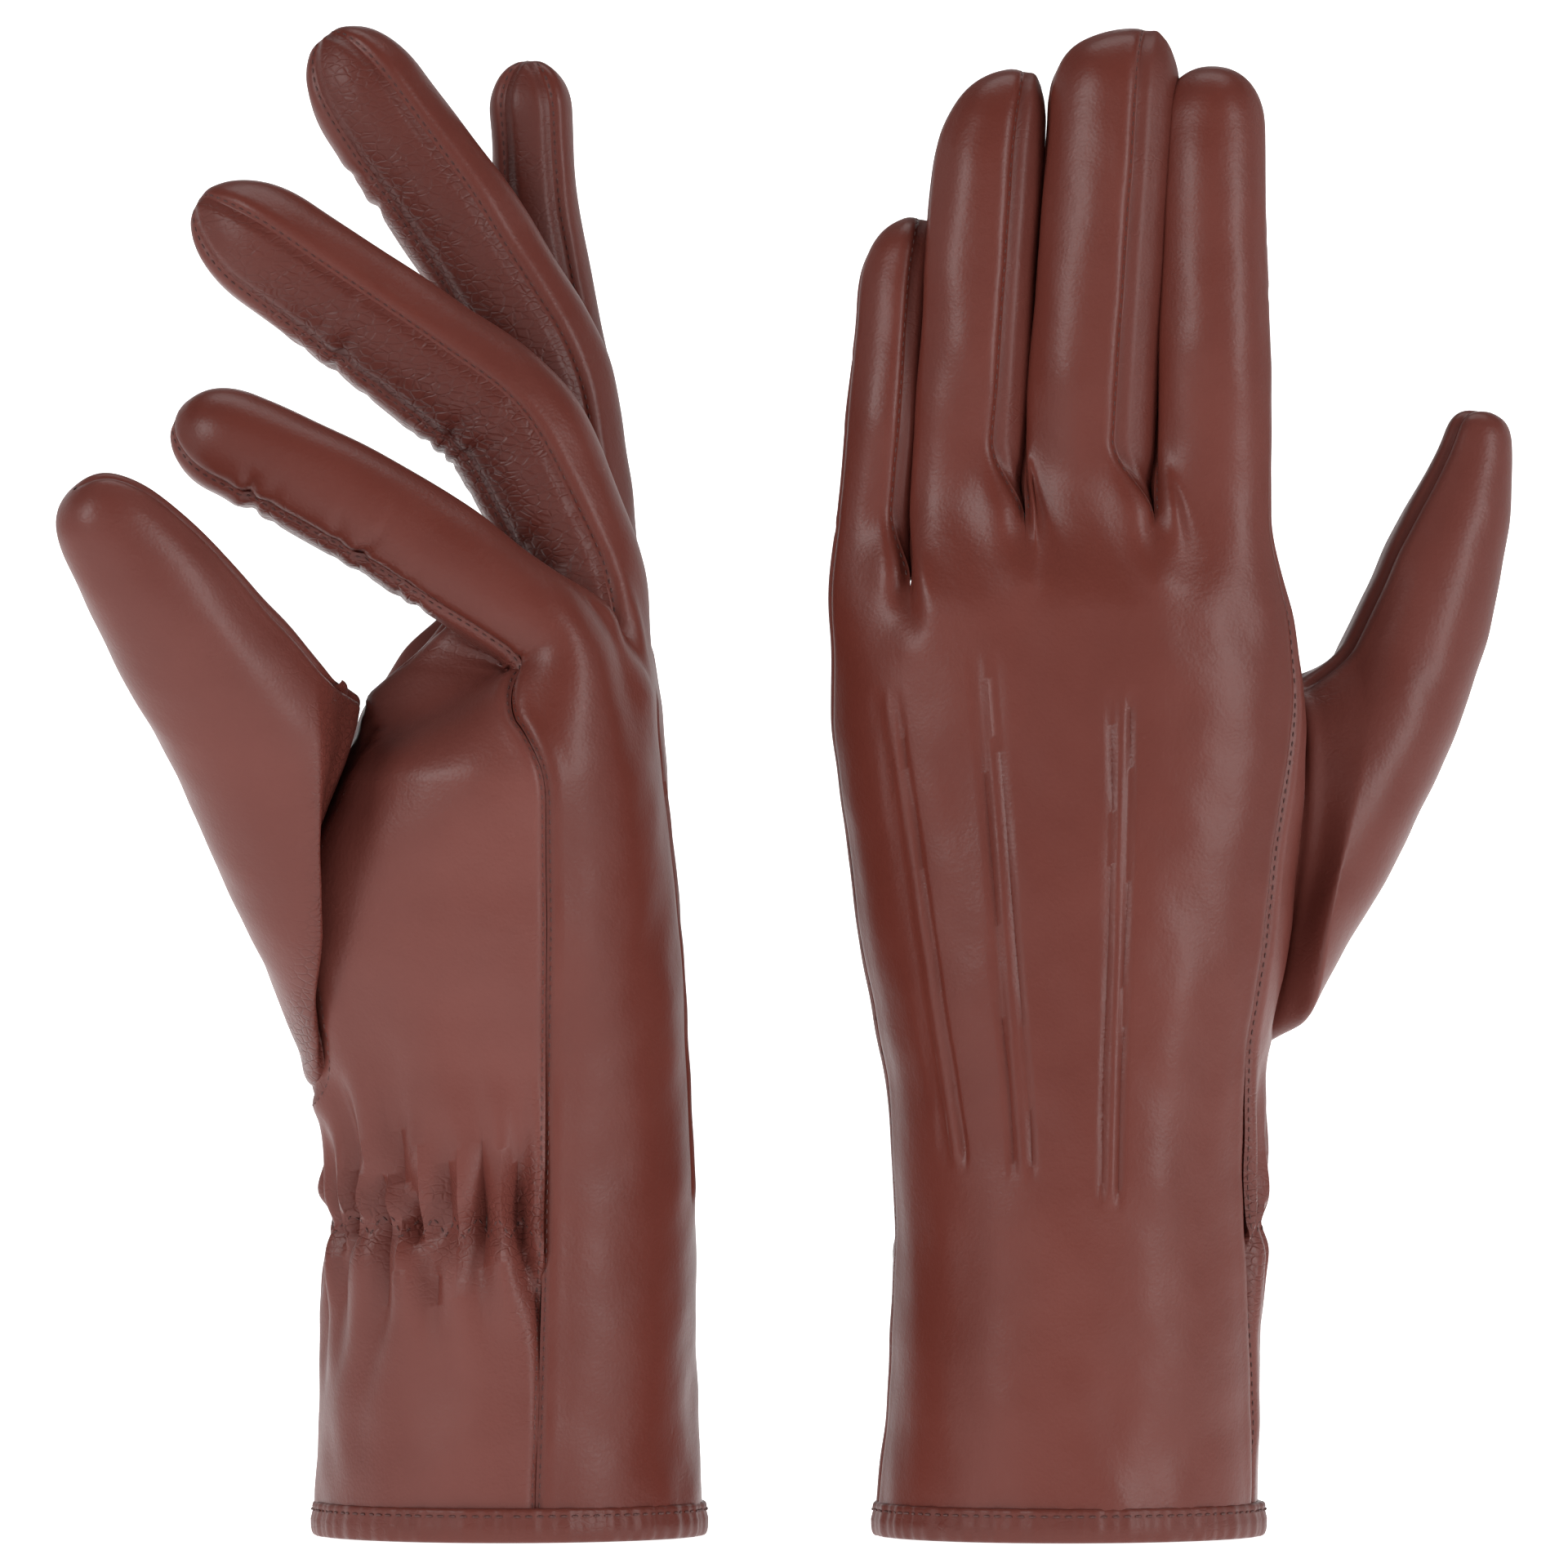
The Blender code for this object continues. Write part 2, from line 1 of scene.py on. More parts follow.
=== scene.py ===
import json
import math
import bpy
import numpy as np
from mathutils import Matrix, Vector

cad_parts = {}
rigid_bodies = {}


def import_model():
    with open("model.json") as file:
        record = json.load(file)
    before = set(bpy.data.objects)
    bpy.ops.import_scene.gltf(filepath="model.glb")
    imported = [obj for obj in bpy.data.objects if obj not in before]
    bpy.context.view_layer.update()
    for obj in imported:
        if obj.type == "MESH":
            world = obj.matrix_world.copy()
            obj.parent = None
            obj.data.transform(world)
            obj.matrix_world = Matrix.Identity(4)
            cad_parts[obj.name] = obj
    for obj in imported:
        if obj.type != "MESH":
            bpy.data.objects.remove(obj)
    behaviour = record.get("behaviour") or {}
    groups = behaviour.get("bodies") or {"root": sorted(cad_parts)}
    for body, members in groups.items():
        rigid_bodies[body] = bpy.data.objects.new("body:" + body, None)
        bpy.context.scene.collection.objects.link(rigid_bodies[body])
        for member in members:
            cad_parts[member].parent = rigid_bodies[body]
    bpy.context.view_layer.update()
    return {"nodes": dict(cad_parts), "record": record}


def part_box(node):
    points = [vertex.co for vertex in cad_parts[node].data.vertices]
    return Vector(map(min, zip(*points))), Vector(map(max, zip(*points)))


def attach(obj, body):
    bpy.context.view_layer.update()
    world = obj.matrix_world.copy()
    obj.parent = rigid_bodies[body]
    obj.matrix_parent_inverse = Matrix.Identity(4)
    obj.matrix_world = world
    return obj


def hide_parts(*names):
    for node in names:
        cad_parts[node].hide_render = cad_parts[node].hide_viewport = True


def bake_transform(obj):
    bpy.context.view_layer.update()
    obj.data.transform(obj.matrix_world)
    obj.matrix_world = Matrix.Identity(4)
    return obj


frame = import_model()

print("frame loaded:", len(frame["nodes"]), "nodes")

# A pair of leather dress gloves. Sizes are millimetres in each glove's own hand frame:
# u to the thumb side, n out of the palm, w up the fingers. Angles round a section run from u
# towards n, so 90 is the palm and 270 the back.
mm = 0.001
spacing = 0.75

joints = {j["name"]: j for j in frame["record"]["behaviour"]["joints"]}

# height, half width, half depth, shift to the thumb, shift to the palm, squareness
handShape = [
    (-4, 33.0, 33.2, -1.3, 0.4, 2.0), (0, 33.2, 33.4, -1.3, 0.4, 2.0), (8, 33.1, 33.3, -1.2, 0.4, 2.0),
    (30, 32.0, 32.4, -0.2, -0.2, 2.0), (54, 31.4, 31.4, 0.4, -0.7, 2.0), (79, 32.6, 31.0, 0.2, -0.5, 2.1),
    (100, 36.6, 29.5, 0.0, -0.4, 2.2), (124, 40.2, 27.0, -0.2, -0.8, 2.3), (144, 41.0, 24.5, -1.0, -1.5, 2.4),
    (164, 38.9, 17.5, -2.6, -6.0, 2.5), (185, 37.5, 12.0, -3.2, -8.5, 2.6), (215, 36.0, 9.5, -3.2, -8.5, 2.6),
]
# where each finger's lane ends across the hand, at the height laneHeight
laneEdges = [13.4, -9.0, -28.7]
laneHeight = 180.0
littleSeam = 186.0
splitBelow = 24.0  # from the lowest finger's root down to where the hand's sheets end

# apex: how far the tip's top lies off its middle; offset: the whole finger's shift to the thumb;
# shoulder: length of the far side's rounding; the arcs are where each side's two seams lie
plainFinger = {"lean": 0.0, "apex": 0.0, "offset": 0.0, "shoulder": 2.1}

leftGlove = {
    "side": "left", "u": (1, 0, 0), "n": (0, 1, 0),
    "seam": [(0, -15), (25, -17), (68, -26), (90, -29), (124, -29), (150, -15), (166, -6), (185, -2)],
    "crotch": [176.6, 176.8, 165.2], "gather": 1.0, "thenar": (11.0, 52, 38),
    "fingers": {
        "index": plainFinger | {
            "width": 10.4, "depth": 9.6, "reach": (31.0, 41.6), "lean": 0.4, "rest": (3, 5, 6),
            "thumbArc": (-3, -3), "littleArc": (150, 196), "taper": 0.14, "blunt": 1.0, "crease": 0.25},
        "middle": plainFinger | {
            "width": 11.9, "depth": 9.9, "reach": (34.0, 44.8), "lean": 4.0, "rest": (3, 5, 6), "apex": 4.4,
            "thumbArc": (-68, 6), "littleArc": (146, 192), "taper": 0.05, "blunt": 1.2, "crease": 0.25,
            "shoulder": 1.1},
        "ring": plainFinger | {
            "width": 10.2, "depth": 9.5, "reach": (31.0, 41.6), "lean": 4.2, "rest": (3, 5, 6), "apex": 4.0,
            "thumbArc": (-64, 8), "littleArc": (146, 192), "taper": 0.05, "blunt": 1.2, "crease": 0.3,
            "offset": 0.4},
        "little": plainFinger | {
            "width": 7.0, "depth": 8.0, "reach": (25.0, 33.0), "lean": 4.5, "rest": (4, 5, 6), "apex": 2.6,
            "thumbArc": (-66, 10), "littleArc": (188, 188), "taper": 0.08, "blunt": 1.2, "crease": 0.3,
            "offset": 1.2},
    },
    "thumb": {
        "line": [(16, 0, 70, 13), (23.2, 3, 86, 14.2), (31.2, 6.5, 103.5, 15), (38.4, 10.5, 114.9, 14.5),
                 (45.2, 14, 125.4, 13.5), (51.6, 17, 135.9, 12.8), (55.8, 19.5, 145.5, 12.5),
                 (59.3, 21.8, 154, 12.2), (64.2, 24.5, 165.9, 10.9), (68.6, 26.5, 177.9, 8.9),
                 (71.4, 28, 190, 5.9), (72.2, 28.4, 195.0, 4.4)],
        "hole": {"angle": 36, "spread": 35, "height": 114, "reach": 31, "square": 0.7},
        "inner": (-0.9, -0.35), "crease": 0.25, "seam": 18.0,
    },
}
rightGlove = {
    "side": "right", "u": (0, -1, 0), "n": (-1, 0, 0),
    "seam": [(0, -9), (60, -10), (110, -11), (134, -10), (144, 4), (154, 30), (180, 50)],
    "crotch": [157.5, 165.0, 172.0], "gather": 1.25, "thenar": (18.0, 68, 36),
    "fingers": {
        "index": plainFinger | {
            "width": 9.6, "depth": 9.9, "reach": (34.0, 42.5), "rest": (57, 5, 3),
            "thumbArc": (52, 52), "littleArc": (146, 205), "taper": 0.10, "blunt": 1.15, "crease": 0.8},
        "middle": plainFinger | {
            "width": 10.6, "depth": 12.2, "reach": (31.0, 65.0), "rest": (28, 27, 0),
            "thumbArc": (-16, 56), "littleArc": (140, 205), "taper": 0.18, "blunt": 1.6, "crease": 1.0},
        "ring": plainFinger | {
            "width": 9.4, "depth": 10.9, "reach": (30.0, 68.8), "rest": (14, 18, 4),
            "thumbArc": (-26, 50), "littleArc": (140, 205), "taper": 0.08, "blunt": 1.6, "crease": 1.0},
        "little": plainFinger | {
            "width": 7.2, "depth": 8.3, "reach": (33.0, 52.6), "lean": 1.0, "rest": (10.5, 0, -7),
            "thumbArc": (-30, 44), "littleArc": (196, 196), "taper": 0.14, "blunt": 1.3, "crease": 0.6},
    },
    "thumb": {
        "line": [(4, 11, 70, 16.5), (7, 16, 80.3, 17.0), (11, 20.4, 92, 17.6), (15, 25.4, 103.2, 17.6),
                 (20, 30.5, 114.4, 17.2), (26, 36.0, 125.3, 16.6), (32.5, 41.9, 137.8, 15.9),
                 (38.5, 49.3, 149.2, 14.6), (44.5, 57.0, 159.8, 13.0), (49, 64.4, 169.8, 11.2),
                 (52, 69.6, 176.3, 8.7), (53.6, 73.2, 180.2, 6.2)],
        "hole": {"angle": 74, "spread": 25, "height": 110, "reach": 33, "square": 0.85},
        "inner": (-0.2, -1.0), "crease": 0.6, "seam": 12.0,
    },
}


def step(x, low, high):
    t = np.clip((np.asarray(x, float) - low) / (high - low), 0, 1)
    return t * t * (3 - 2 * t)


def hump(x, middle, width):
    return np.exp(-((np.asarray(x, float) - middle) / width) ** 2)


def mix(a, b, t):
    return a + (b - a) * t


def smoothTable(keys, step=0.5, width=5.0):
    # a table through given values, eased where they turn
    keys = np.array(keys, float)
    x = np.arange(keys[0, 0], keys[-1, 0] + step, step)
    kernel = np.exp(-(np.arange(-24, 25) * step / width) ** 2)
    kernel /= kernel.sum()
    columns = []
    for k in range(1, keys.shape[1]):
        y = np.interp(x, keys[:, 0], keys[:, k])
        columns.append(np.convolve(np.pad(y, 24, "edge"), kernel, "valid"))
    return x, columns


def makeNoise(seed, waves=14):
    # soft noise from a few sine waves in random directions
    rng = np.random.default_rng(seed)
    ways = rng.normal(size=(waves, 3))
    ways /= np.linalg.norm(ways, axis=1)[:, None]
    rates = rng.uniform(0.6, 1.6, waves)
    phases = rng.uniform(0, 6.28, waves)

    def noise(points, size):
        total = 0
        for way, rate, phase in zip(ways, rates, phases):
            total = total + np.sin((points @ way) * rate * 6.28 / size + phase)
        return total / math.sqrt(waves)

    return noise


softNoise = makeNoise(3)
handTable = smoothTable(handShape)


def handSize(w):
    x, columns = handTable
    return [np.interp(w, x, c) for c in columns]


def roundPoint(width, depth, angle, square):
    c, s = np.cos(np.radians(angle)), np.sin(np.radians(angle))
    power = 2.0 / square
    return width * np.sign(c) * np.abs(c) ** power, depth * np.sign(s) * np.abs(s) ** power


def seamAngle(glove, w):
    x, columns = smoothTable(glove["seam"], width=7.0)
    return np.interp(w, x, columns[0])


def handPoint(glove, w, angle, inset=0.0):
    w, angle = np.broadcast_arrays(np.asarray(w, float), np.asarray(angle, float))
    width, depth, shiftU, shiftN, square = handSize(w)
    across, deep = roundPoint(width - inset, depth - inset, angle, square)
    # the ball of the thumb swells the palm
    rise, middle, spread = glove["thenar"]
    swell = rise * hump(w, glove["thumb"]["hole"]["height"] - 1, 27) * hump(angle, middle, spread)
    deep = deep + swell * np.where(inset > 0, 0.8, 1.0)
    return np.stack([across + shiftU, deep + shiftN, w], -1)


def sideAngle(w, u, back=True):
    # the angle of the point of a section that lies at u
    width, _, shiftU, _, square = handSize(w)
    share = np.clip((u - shiftU) / width, -1, 1)
    angle = math.degrees(math.acos(math.copysign(abs(share) ** (square / 2), share)))
    return 360 - angle if back else angle


def laneAngles(back):
    return [sideAngle(laneHeight, edge, back) for edge in laneEdges]


def easedColumns(count, ends=0.72):
    t = np.linspace(0, 1, count)
    return t - ends * np.sin(2 * math.pi * t) / (2 * math.pi)


fingerNames = ["index", "middle", "ring", "little"]


def pivotOf(glove, jointName):
    # a joint's place, back in the glove's hand frame
    place = np.array(joints[glove["side"] + "_" + jointName]["pos_m"]) / mm
    local = place - glove["place"]
    return np.array([local @ glove["uDir"], local @ glove["nDir"], local[2]])


def fingerLine(glove, name):
    finger = glove["fingers"][name]
    root, middle = finger["reach"]
    s = np.arange(-45.0, root + middle + 0.25, 0.25)
    rest = [math.radians(a) for a in finger["rest"]]
    turn = rest[0] * step(s, -10, 9) + rest[1] * step(s, root - 9, root + 9)
    turn = turn + rest[2] * step(s, root + 0.5 * middle - 9, root + 0.5 * middle + 9)
    lean = math.radians(finger["lean"]) * step(s, -20, 6)
    along = np.stack([np.sin(lean), np.cos(lean) * np.sin(turn), np.cos(lean) * np.cos(turn)], -1)
    side = np.stack([np.cos(lean), -np.sin(lean) * np.sin(turn), -np.sin(lean) * np.cos(turn)], -1)
    palm = np.stack([0 * turn, np.cos(turn), -np.sin(turn)], -1)
    middles = np.cumsum(along * 0.25, axis=0)
    middles = middles - middles[np.argmin(np.abs(s))] + pivotOf(glove, name + "_root")
    return {"s": s, "middle": middles, "side": side, "palm": palm, "along": along}


def pick(at, places, data):
    # rows of three numbers read off a table
    return np.stack([np.interp(at, places, data[:, k]) for k in range(3)], -1)


def lookUp(line, key, s):
    return pick(s, line["s"], line[key])


def fingerSize(finger, s):
    total = sum(finger["reach"])
    share = 1.0 - finger["taper"] * np.clip(s / total, 0, 1) ** 1.5
    rounding = finger["blunt"] * finger["width"]
    past = np.clip((s - (total - rounding)) / rounding, 0, 1)
    return share * np.sqrt(np.maximum(1.0 - past ** 2.2, 0.0))


def fingerSides(finger, s):
    # half width and shift to the thumb side: towards its apex a tip rounds over sooner on the far side
    size, apex, width = fingerSize(finger, s), finger["apex"], finger["width"]
    long = finger["shoulder"] * finger["blunt"] * width
    past = np.clip((s - (sum(finger["reach"]) - long)) / long, 0, 1)
    near, far = width * size, width * size
    if apex > 0:
        near = (width - apex) * size ** 0.7
        far = (width + apex) * np.sqrt(np.maximum(1 - past ** 2.6, 0))
    return (near + far) / 2, (near - far) / 2 + apex + finger["offset"] * step(s, -20, 4)


def fingerPoint(glove, name, s, angle):
    finger, line = glove["fingers"][name], glove["lines"][name]
    s, angle = np.broadcast_arrays(np.asarray(s, float), np.asarray(angle, float))
    size = fingerSize(finger, s)
    half, shift = fingerSides(finger, s)
    across = half * np.cos(np.radians(angle)) + shift
    # the back lies flatter over the knuckle
    flat = np.where(np.sin(np.radians(angle)) < 0, 1 - 0.22 * (1 - step(s, -4, 26)), 1.0)
    deep = finger["depth"] * size * flat * np.sin(np.radians(angle))
    return (lookUp(line, "middle", s) + lookUp(line, "side", s) * across[..., None]
            + lookUp(line, "palm", s) * deep[..., None])


def sheetArc(finger, back):
    # the angles of a sheet's thumb-side and little-side edges round the finger
    thumbLow, thumbHigh = finger["thumbArc"]
    littleLow, littleHigh = finger["littleArc"]
    return (360 + thumbLow, littleHigh) if back else (thumbHigh, littleLow)


def valley(glove, w, lane, distance):
    # how far the sheets sink towards a crotch between two fingers
    crotch = glove["crotch"][lane]
    wide = mix(3.4, 2.0, step(w, crotch - 13, crotch))
    return 5.0 * step(w, crotch - 13, crotch + 2) * np.exp(-(distance / wide) ** 2)


def laneSheet(glove, name, back, s, share):
    # a finger's part of the back or palm sheet, from the hand (s below 0) to the fingertip
    finger = glove["fingers"][name]
    number = fingerNames.index(name)
    rootHeight = glove["roots"][name]
    s, share = s[:, None], share[None, :]
    w = rootHeight + s
    seam = seamAngle(glove, np.minimum(w, 200)) + (360 if back else 0)
    lanes = laneAngles(back)
    edges = [seam, *lanes, littleSeam]
    first, last = edges[number], edges[number + 1]
    onHand = handPoint(glove, w, mix(first, last, share))
    inward = -1.0 if not back else 1.0
    # distance from each edge that a neighbour shares
    laneWidth = 2 * finger["width"] + 0.5
    fromThumb, fromLittle = share * laneWidth, (1 - share) * laneWidth
    sink = 0
    if number > 0:
        sink = sink + valley(glove, w, number - 1, fromThumb)
    if number < 3:
        sink = sink + valley(glove, w, number, fromLittle)
    onHand[..., 1] += inward * sink
    arc = sheetArc(finger, back)
    onFinger = fingerPoint(glove, name, s, mix(arc[0], arc[1], share))
    weight = step(s, -24, 3)
    for edge, distance in ((number - 1, fromThumb), (number, fromLittle)):
        if 0 <= edge <= 2:
            crotch = glove["crotch"][edge] - rootHeight
            held = step(s, crotch, crotch + 13)
            weight = mix(weight, held, np.exp(-(distance / 4.0) ** 2))
    return mix(onHand, onFinger, weight[..., None])


def unit(v):
    return v / np.maximum(np.linalg.norm(v, axis=-1, keepdims=True), 1e-9)


def gridNormals(points, around):
    du = np.gradient(points, axis=1)
    if around:
        du = np.roll(points, -1, axis=1) - np.roll(points, 1, axis=1)
    return unit(np.cross(du, np.gradient(points, axis=0)))


def edgeDistance(points):
    # how far each point of a row is from the row's two ends
    steps = np.linalg.norm(np.diff(points, axis=1), axis=-1)
    run = np.concatenate([np.zeros((len(points), 1)), np.cumsum(steps, axis=1)], axis=1)
    return run, run[:, -1:] - run


def seamCurl(distance, strength=1.0):
    # a seam pulls its edge in, and the leather beside it stands a little proud
    return strength * (-0.85 * np.exp(-(distance / 0.8) ** 2) + 0.22 * hump(distance, 2.4, 1.3))


def toWorld(glove, points):
    return (glove["place"] + points[..., :1] * glove["uDir"] + points[..., 1:2] * glove["nDir"]
            + points[..., 2:] * np.array([0, 0, 1.0])) * mm


sharpEdge = math.radians(55)


def deselectAll():
    for obj in bpy.context.view_layer.objects:
        obj.select_set(False)


def newMesh(name, verts, faces, material, attributes=None):
    mesh = bpy.data.meshes.new(name)
    mesh.from_pydata(np.asarray(verts).reshape(-1, 3).tolist(), [], faces)
    for key, values in (attributes or {}).items():
        layer = mesh.attributes.new(key, "FLOAT", "POINT")
        layer.data.foreach_set("value", np.asarray(values, np.float32).ravel())
    mesh.update()
    obj = bpy.data.objects.new(name, mesh)
    bpy.context.scene.collection.objects.link(obj)
    mesh.materials.append(material)
    mesh.shade_smooth()
    mesh.set_sharp_from_angle(angle=sharpEdge)
    return obj


def outwardNormals(points, middle, around):
    # normals of a grid, pointing away from its middle line
    normals = gridNormals(points, around)
    inwards = float(((points - middle) * normals).sum(-1).mean()) < 0
    return (-normals if inwards else normals), inwards


def leatherGrid(glove, name, points, middle, material, wall=1.0, lift=None, layers=None, around=False):
    # one piece of leather with its wall, from a grid of outside points
    normals, inwards = outwardNormals(points, middle, around)
    if lift is not None:
        points = points + normals * lift[..., None]
        normals, inwards = outwardNormals(points, middle, around)
    thick = np.broadcast_to(np.asarray(wall, float), points.shape[:2])[..., None]
    inside = points - normals * thick
    faces = wallFaces(points.shape[0], points.shape[1], around)
    if inwards != glove["mirrored"]:
        faces = faces[:, ::-1]
    verts = np.concatenate([toWorld(glove, points).reshape(-1, 3), toWorld(glove, inside).reshape(-1, 3)])
    values = {}
    for key, value in (layers or {}).items():
        values[key] = np.tile(np.broadcast_to(value, points.shape[:2]).ravel(), 2)
    obj = newMesh(name, verts, faces.tolist(), material, values)
    return obj, points, normals


def wallFaces(rows, columns, around):
    # quads of a grid and of its inner copy, joined along the grid's open edges
    index = np.arange(rows * columns).reshape(rows, columns)
    if around:
        index = np.concatenate([index, index[:, :1]], axis=1)
    outer = np.stack([index[:-1, :-1], index[:-1, 1:], index[1:, 1:], index[1:, :-1]], -1).reshape(-1, 4)
    total = rows * columns
    strips = []
    sides = [] if around else [index[:, 0], index[::-1, -1]]
    for rim in (index[0][::-1], index[-1], *sides):
        p, q = rim[:-1], rim[1:]
        strips.append(np.stack([p, p + total, q + total, q], -1))
    return np.concatenate([outer, outer[:, ::-1] + total, *strips])


def editMesh(obj, *steps):
    # runs edit-mode steps on the whole of one mesh
    deselectAll()
    obj.select_set(True)
    bpy.context.view_layer.objects.active = obj
    bpy.ops.object.mode_set(mode="EDIT")
    bpy.ops.mesh.select_all(action="SELECT")
    for operator, options in steps:
        operator(**options)
    bpy.ops.object.mode_set(mode="OBJECT")
    obj.select_set(False)


def weld(obj, distance=0.00002):
    # closes the points where a fingertip's rows come together
    editMesh(obj, (bpy.ops.mesh.remove_doubles, {"threshold": distance}),
             (bpy.ops.mesh.dissolve_degenerate, {"threshold": distance / 2}))
    obj.data.set_sharp_from_angle(angle=sharpEdge)


def columnsFor(finger):
    return easedColumns(int(2.6 * finger["width"] / spacing) + 1)


def handMiddle(w):
    shiftU, shiftN = handSize(w)[2:4]
    return np.stack([shiftU, shiftN, w], -1)[:, None, :]


def softLift(points):
    # the slight unevenness of leather over a soft form
    return 0.28 * softNoise(points, 34.0) + 0.10 * softNoise(points + 50, 13.0)


def handAngles(glove, back, w):
    # the angle of each column of a hand sheet, by lane
    seam = seamAngle(glove, w) + (360 if back else 0)
    lanes = laneAngles(back)
    columns = []
    for number, name in enumerate(fingerNames):
        shares = columnsFor(glove["fingers"][name])
        first = seam if number == 0 else np.full_like(seam, lanes[number - 1])
        last = np.full_like(seam, littleSeam) if number == 3 else np.full_like(seam, lanes[number])
        part = first[:, None] + (last - first)[:, None] * shares[None, :]
        columns.append(part if number == 0 else part[:, 1:])
    return np.concatenate(columns, axis=1)


gathers = {"count": 15, "margin": 7.0, "last": 168.0, "height": 54.0, "depth": 2.5, "channel": 1.5}


def gatherLift(glove, w, angle):
    # folds that the wrist elastic draws up, deepest at the band
    rng = np.random.default_rng(11)
    radius = 31.0
    first = float(seamAngle(glove, gathers["height"])) + gathers["margin"]
    drawn = step(angle, first - 6, first + 8) * (1 - step(angle, 162, 180))
    lift = -gathers["channel"] * hump(w, gathers["height"], 3.4) * drawn
    places = np.linspace(first, gathers["last"], gathers["count"])
    for place in places + rng.uniform(-2.4, 2.4, len(places)):
        slant = rng.uniform(-0.22, 0.22)
        above, below = rng.uniform(11, 28), rng.uniform(9, 24)
        depth = gathers["depth"] * rng.uniform(0.5, 1.15) * glove["gather"]
        away = w - gathers["height"]
        across = radius * np.radians(angle - place) - slant * away - 0.9 * np.sin(away / 6.5 + place)
        wide = 1.15 + 0.06 * np.abs(away)
        reach = np.where(away > 0, np.exp(-(away / above) ** 2), np.exp(-(away / below) ** 2))
        lift = lift - depth * reach * np.exp(-(across / wide) ** 2)
        lift = lift + 0.55 * depth * reach * np.exp(-((np.abs(across) - 2.3 * wide) / (1.2 * wide)) ** 2)
    return lift


def cuffLift(w, angle):
    # the cuff sags into broad soft folds above the hem
    ripple = np.sin(np.radians(angle) * 3 + 0.9 + w / 21) * hump(w, 24, 15)
    slanted = np.sin(np.radians(angle) * 2.2 - w / 8.5 + 1.2) * hump(w, 17, 10) * hump(angle, 330, 34)
    return 0.45 * ripple + 0.7 * slanted


def holeCurve(glove, turn):
    # the edge of the thumb's hole; turn 0 is at the crotch, 90 on the thumb side, 180 at the heel
    return handPoint(glove, *holePlace(glove, turn))


def holePlace(glove, turn, grown=0.0):
    # height and angle of the hole's edge
    hole = glove["thumb"]["hole"]
    across, along = np.sin(np.radians(turn)), np.cos(np.radians(turn))
    power = hole["square"]
    scale = 1 + grown / hole["reach"]
    return (hole["height"] + scale * hole["reach"] * np.sign(along) * np.abs(along) ** power,
            hole["angle"] - scale * hole["spread"] * np.sign(across) * np.abs(across) ** power)


def holeLift(glove, points, w, angle):
    # the palm turns in along the thumb's seam, and lies deeper under the thumb
    hole = glove["thumb"]["hole"]
    edge = holeCurve(glove, np.arange(0, 360, 2.0))
    flat = points.reshape(-1, 3)
    near = np.full(len(flat), 99.0)
    close = np.abs(flat[:, 2] - hole["height"]) < hole["reach"] + 8
    gap = np.linalg.norm(flat[close][:, None, :] - edge[None, :, :], axis=-1).min(axis=1)
    near[close] = gap
    near = near.reshape(points.shape[:2])
    power = 2 / hole["square"]
    inside = (np.abs((angle - hole["angle"]) / hole["spread"]) ** power
              + np.abs((w - hole["height"]) / hole["reach"]) ** power) < 1
    outside = -0.95 * np.exp(-(near / 1.1) ** 2) + 0.25 * hump(near, 3.0, 1.6)
    return np.where(inside, -0.95 - 1.4 * step(near, 0, 5), outside), near


# three ridges down the back of each glove: top and bottom of each, across and up
backRidges = {"lines": [((-32.6, 145.8), (-20.6, 65.0)), ((-15.7, 151.9), (-9.3, 62.9)),
                        ((7.9, 145.8), (5.5, 58.2))],
              "half": 1.3, "height": 0.4, "groove": 0.6, "cord": 0.8, "rise": 1.0, "sunk": 0.0}


def ridgeLift(points):
    lift = 0
    for (topU, topW), (lowU, lowW) in backRidges["lines"]:
        w = points[..., 2]
        across = points[..., 0] - (lowU + (topU - lowU) * (w - lowW) / (topW - lowW))
        along = step(w, lowW - 2, lowW + 3) * (1 - step(w, topW - 4, topW + 2)) * (points[..., 1] < 0)
        away = np.abs(across)
        lift = lift + along * (backRidges["height"] * hump(away, 0, 0.75)
                               - backRidges["groove"] * hump(away, backRidges["half"] + 0.25, 0.55))
    return lift


def buildHandSheet(glove, back):
    w = np.arange(hem["top"], glove["split"] + 0.01, spacing)
    w = np.append(w[w < glove["split"] - 0.3 * spacing], glove["split"])
    angle = handAngles(glove, back, w)
    rows = w[:, None] + 0 * angle
    points = handPoint(glove, rows, angle)
    first, last = edgeDistance(points)
    lift = seamCurl(first) + seamCurl(last) + softLift(points) + cuffLift(rows, angle)
    # painted shade: the crease layer darkens the leather near the side seams, in the ridge grooves, over the
    # elastic's gathers, round the thumb hole and a little over all the palm; it also sets where the leather
    # crackles
    crease = 0.25 * hump(first, 0, 5) + 0.25 * hump(last, 0, 5)
    if back:
        name, material = "back_panel", leather["back"]
        raised = ridgeLift(points)
        lift = lift + raised
        crease = crease + 0.5 * np.clip(-raised / backRidges["groove"], 0, 1)
    else:
        holed, near = holeLift(glove, points, rows, angle)
        lift = lift + gatherLift(glove, rows, angle) + holed
        crease = crease + 0.4 * hump(rows, 54, 14) + 0.2 * hump(near, 0, 6) + 0.1
        name, material = "palm_panel", leather["palm"]
    obj, outside, normals = leatherGrid(glove, glove["side"] + "_" + name + "_hand", points, handMiddle(w),
                                        material, lift=lift, layers={"crease": np.clip(crease, 0, 1)})
    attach(obj, glove["side"] + "_hand")
    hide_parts(glove["side"] + "_" + name)
    return {"w": w, "angle": angle, "points": outside, "normals": normals}


def tipRows(low, tip, rounding):
    # distances up to a tip, closer together where it rounds over
    straight = np.linspace(low, tip - rounding, int((tip - rounding - low) / spacing) + 1)
    turn = np.linspace(0, math.pi / 2, int(1.5 * rounding / spacing) + 3)[1:]
    return np.concatenate([straight, tip - rounding + rounding * np.sin(turn)])


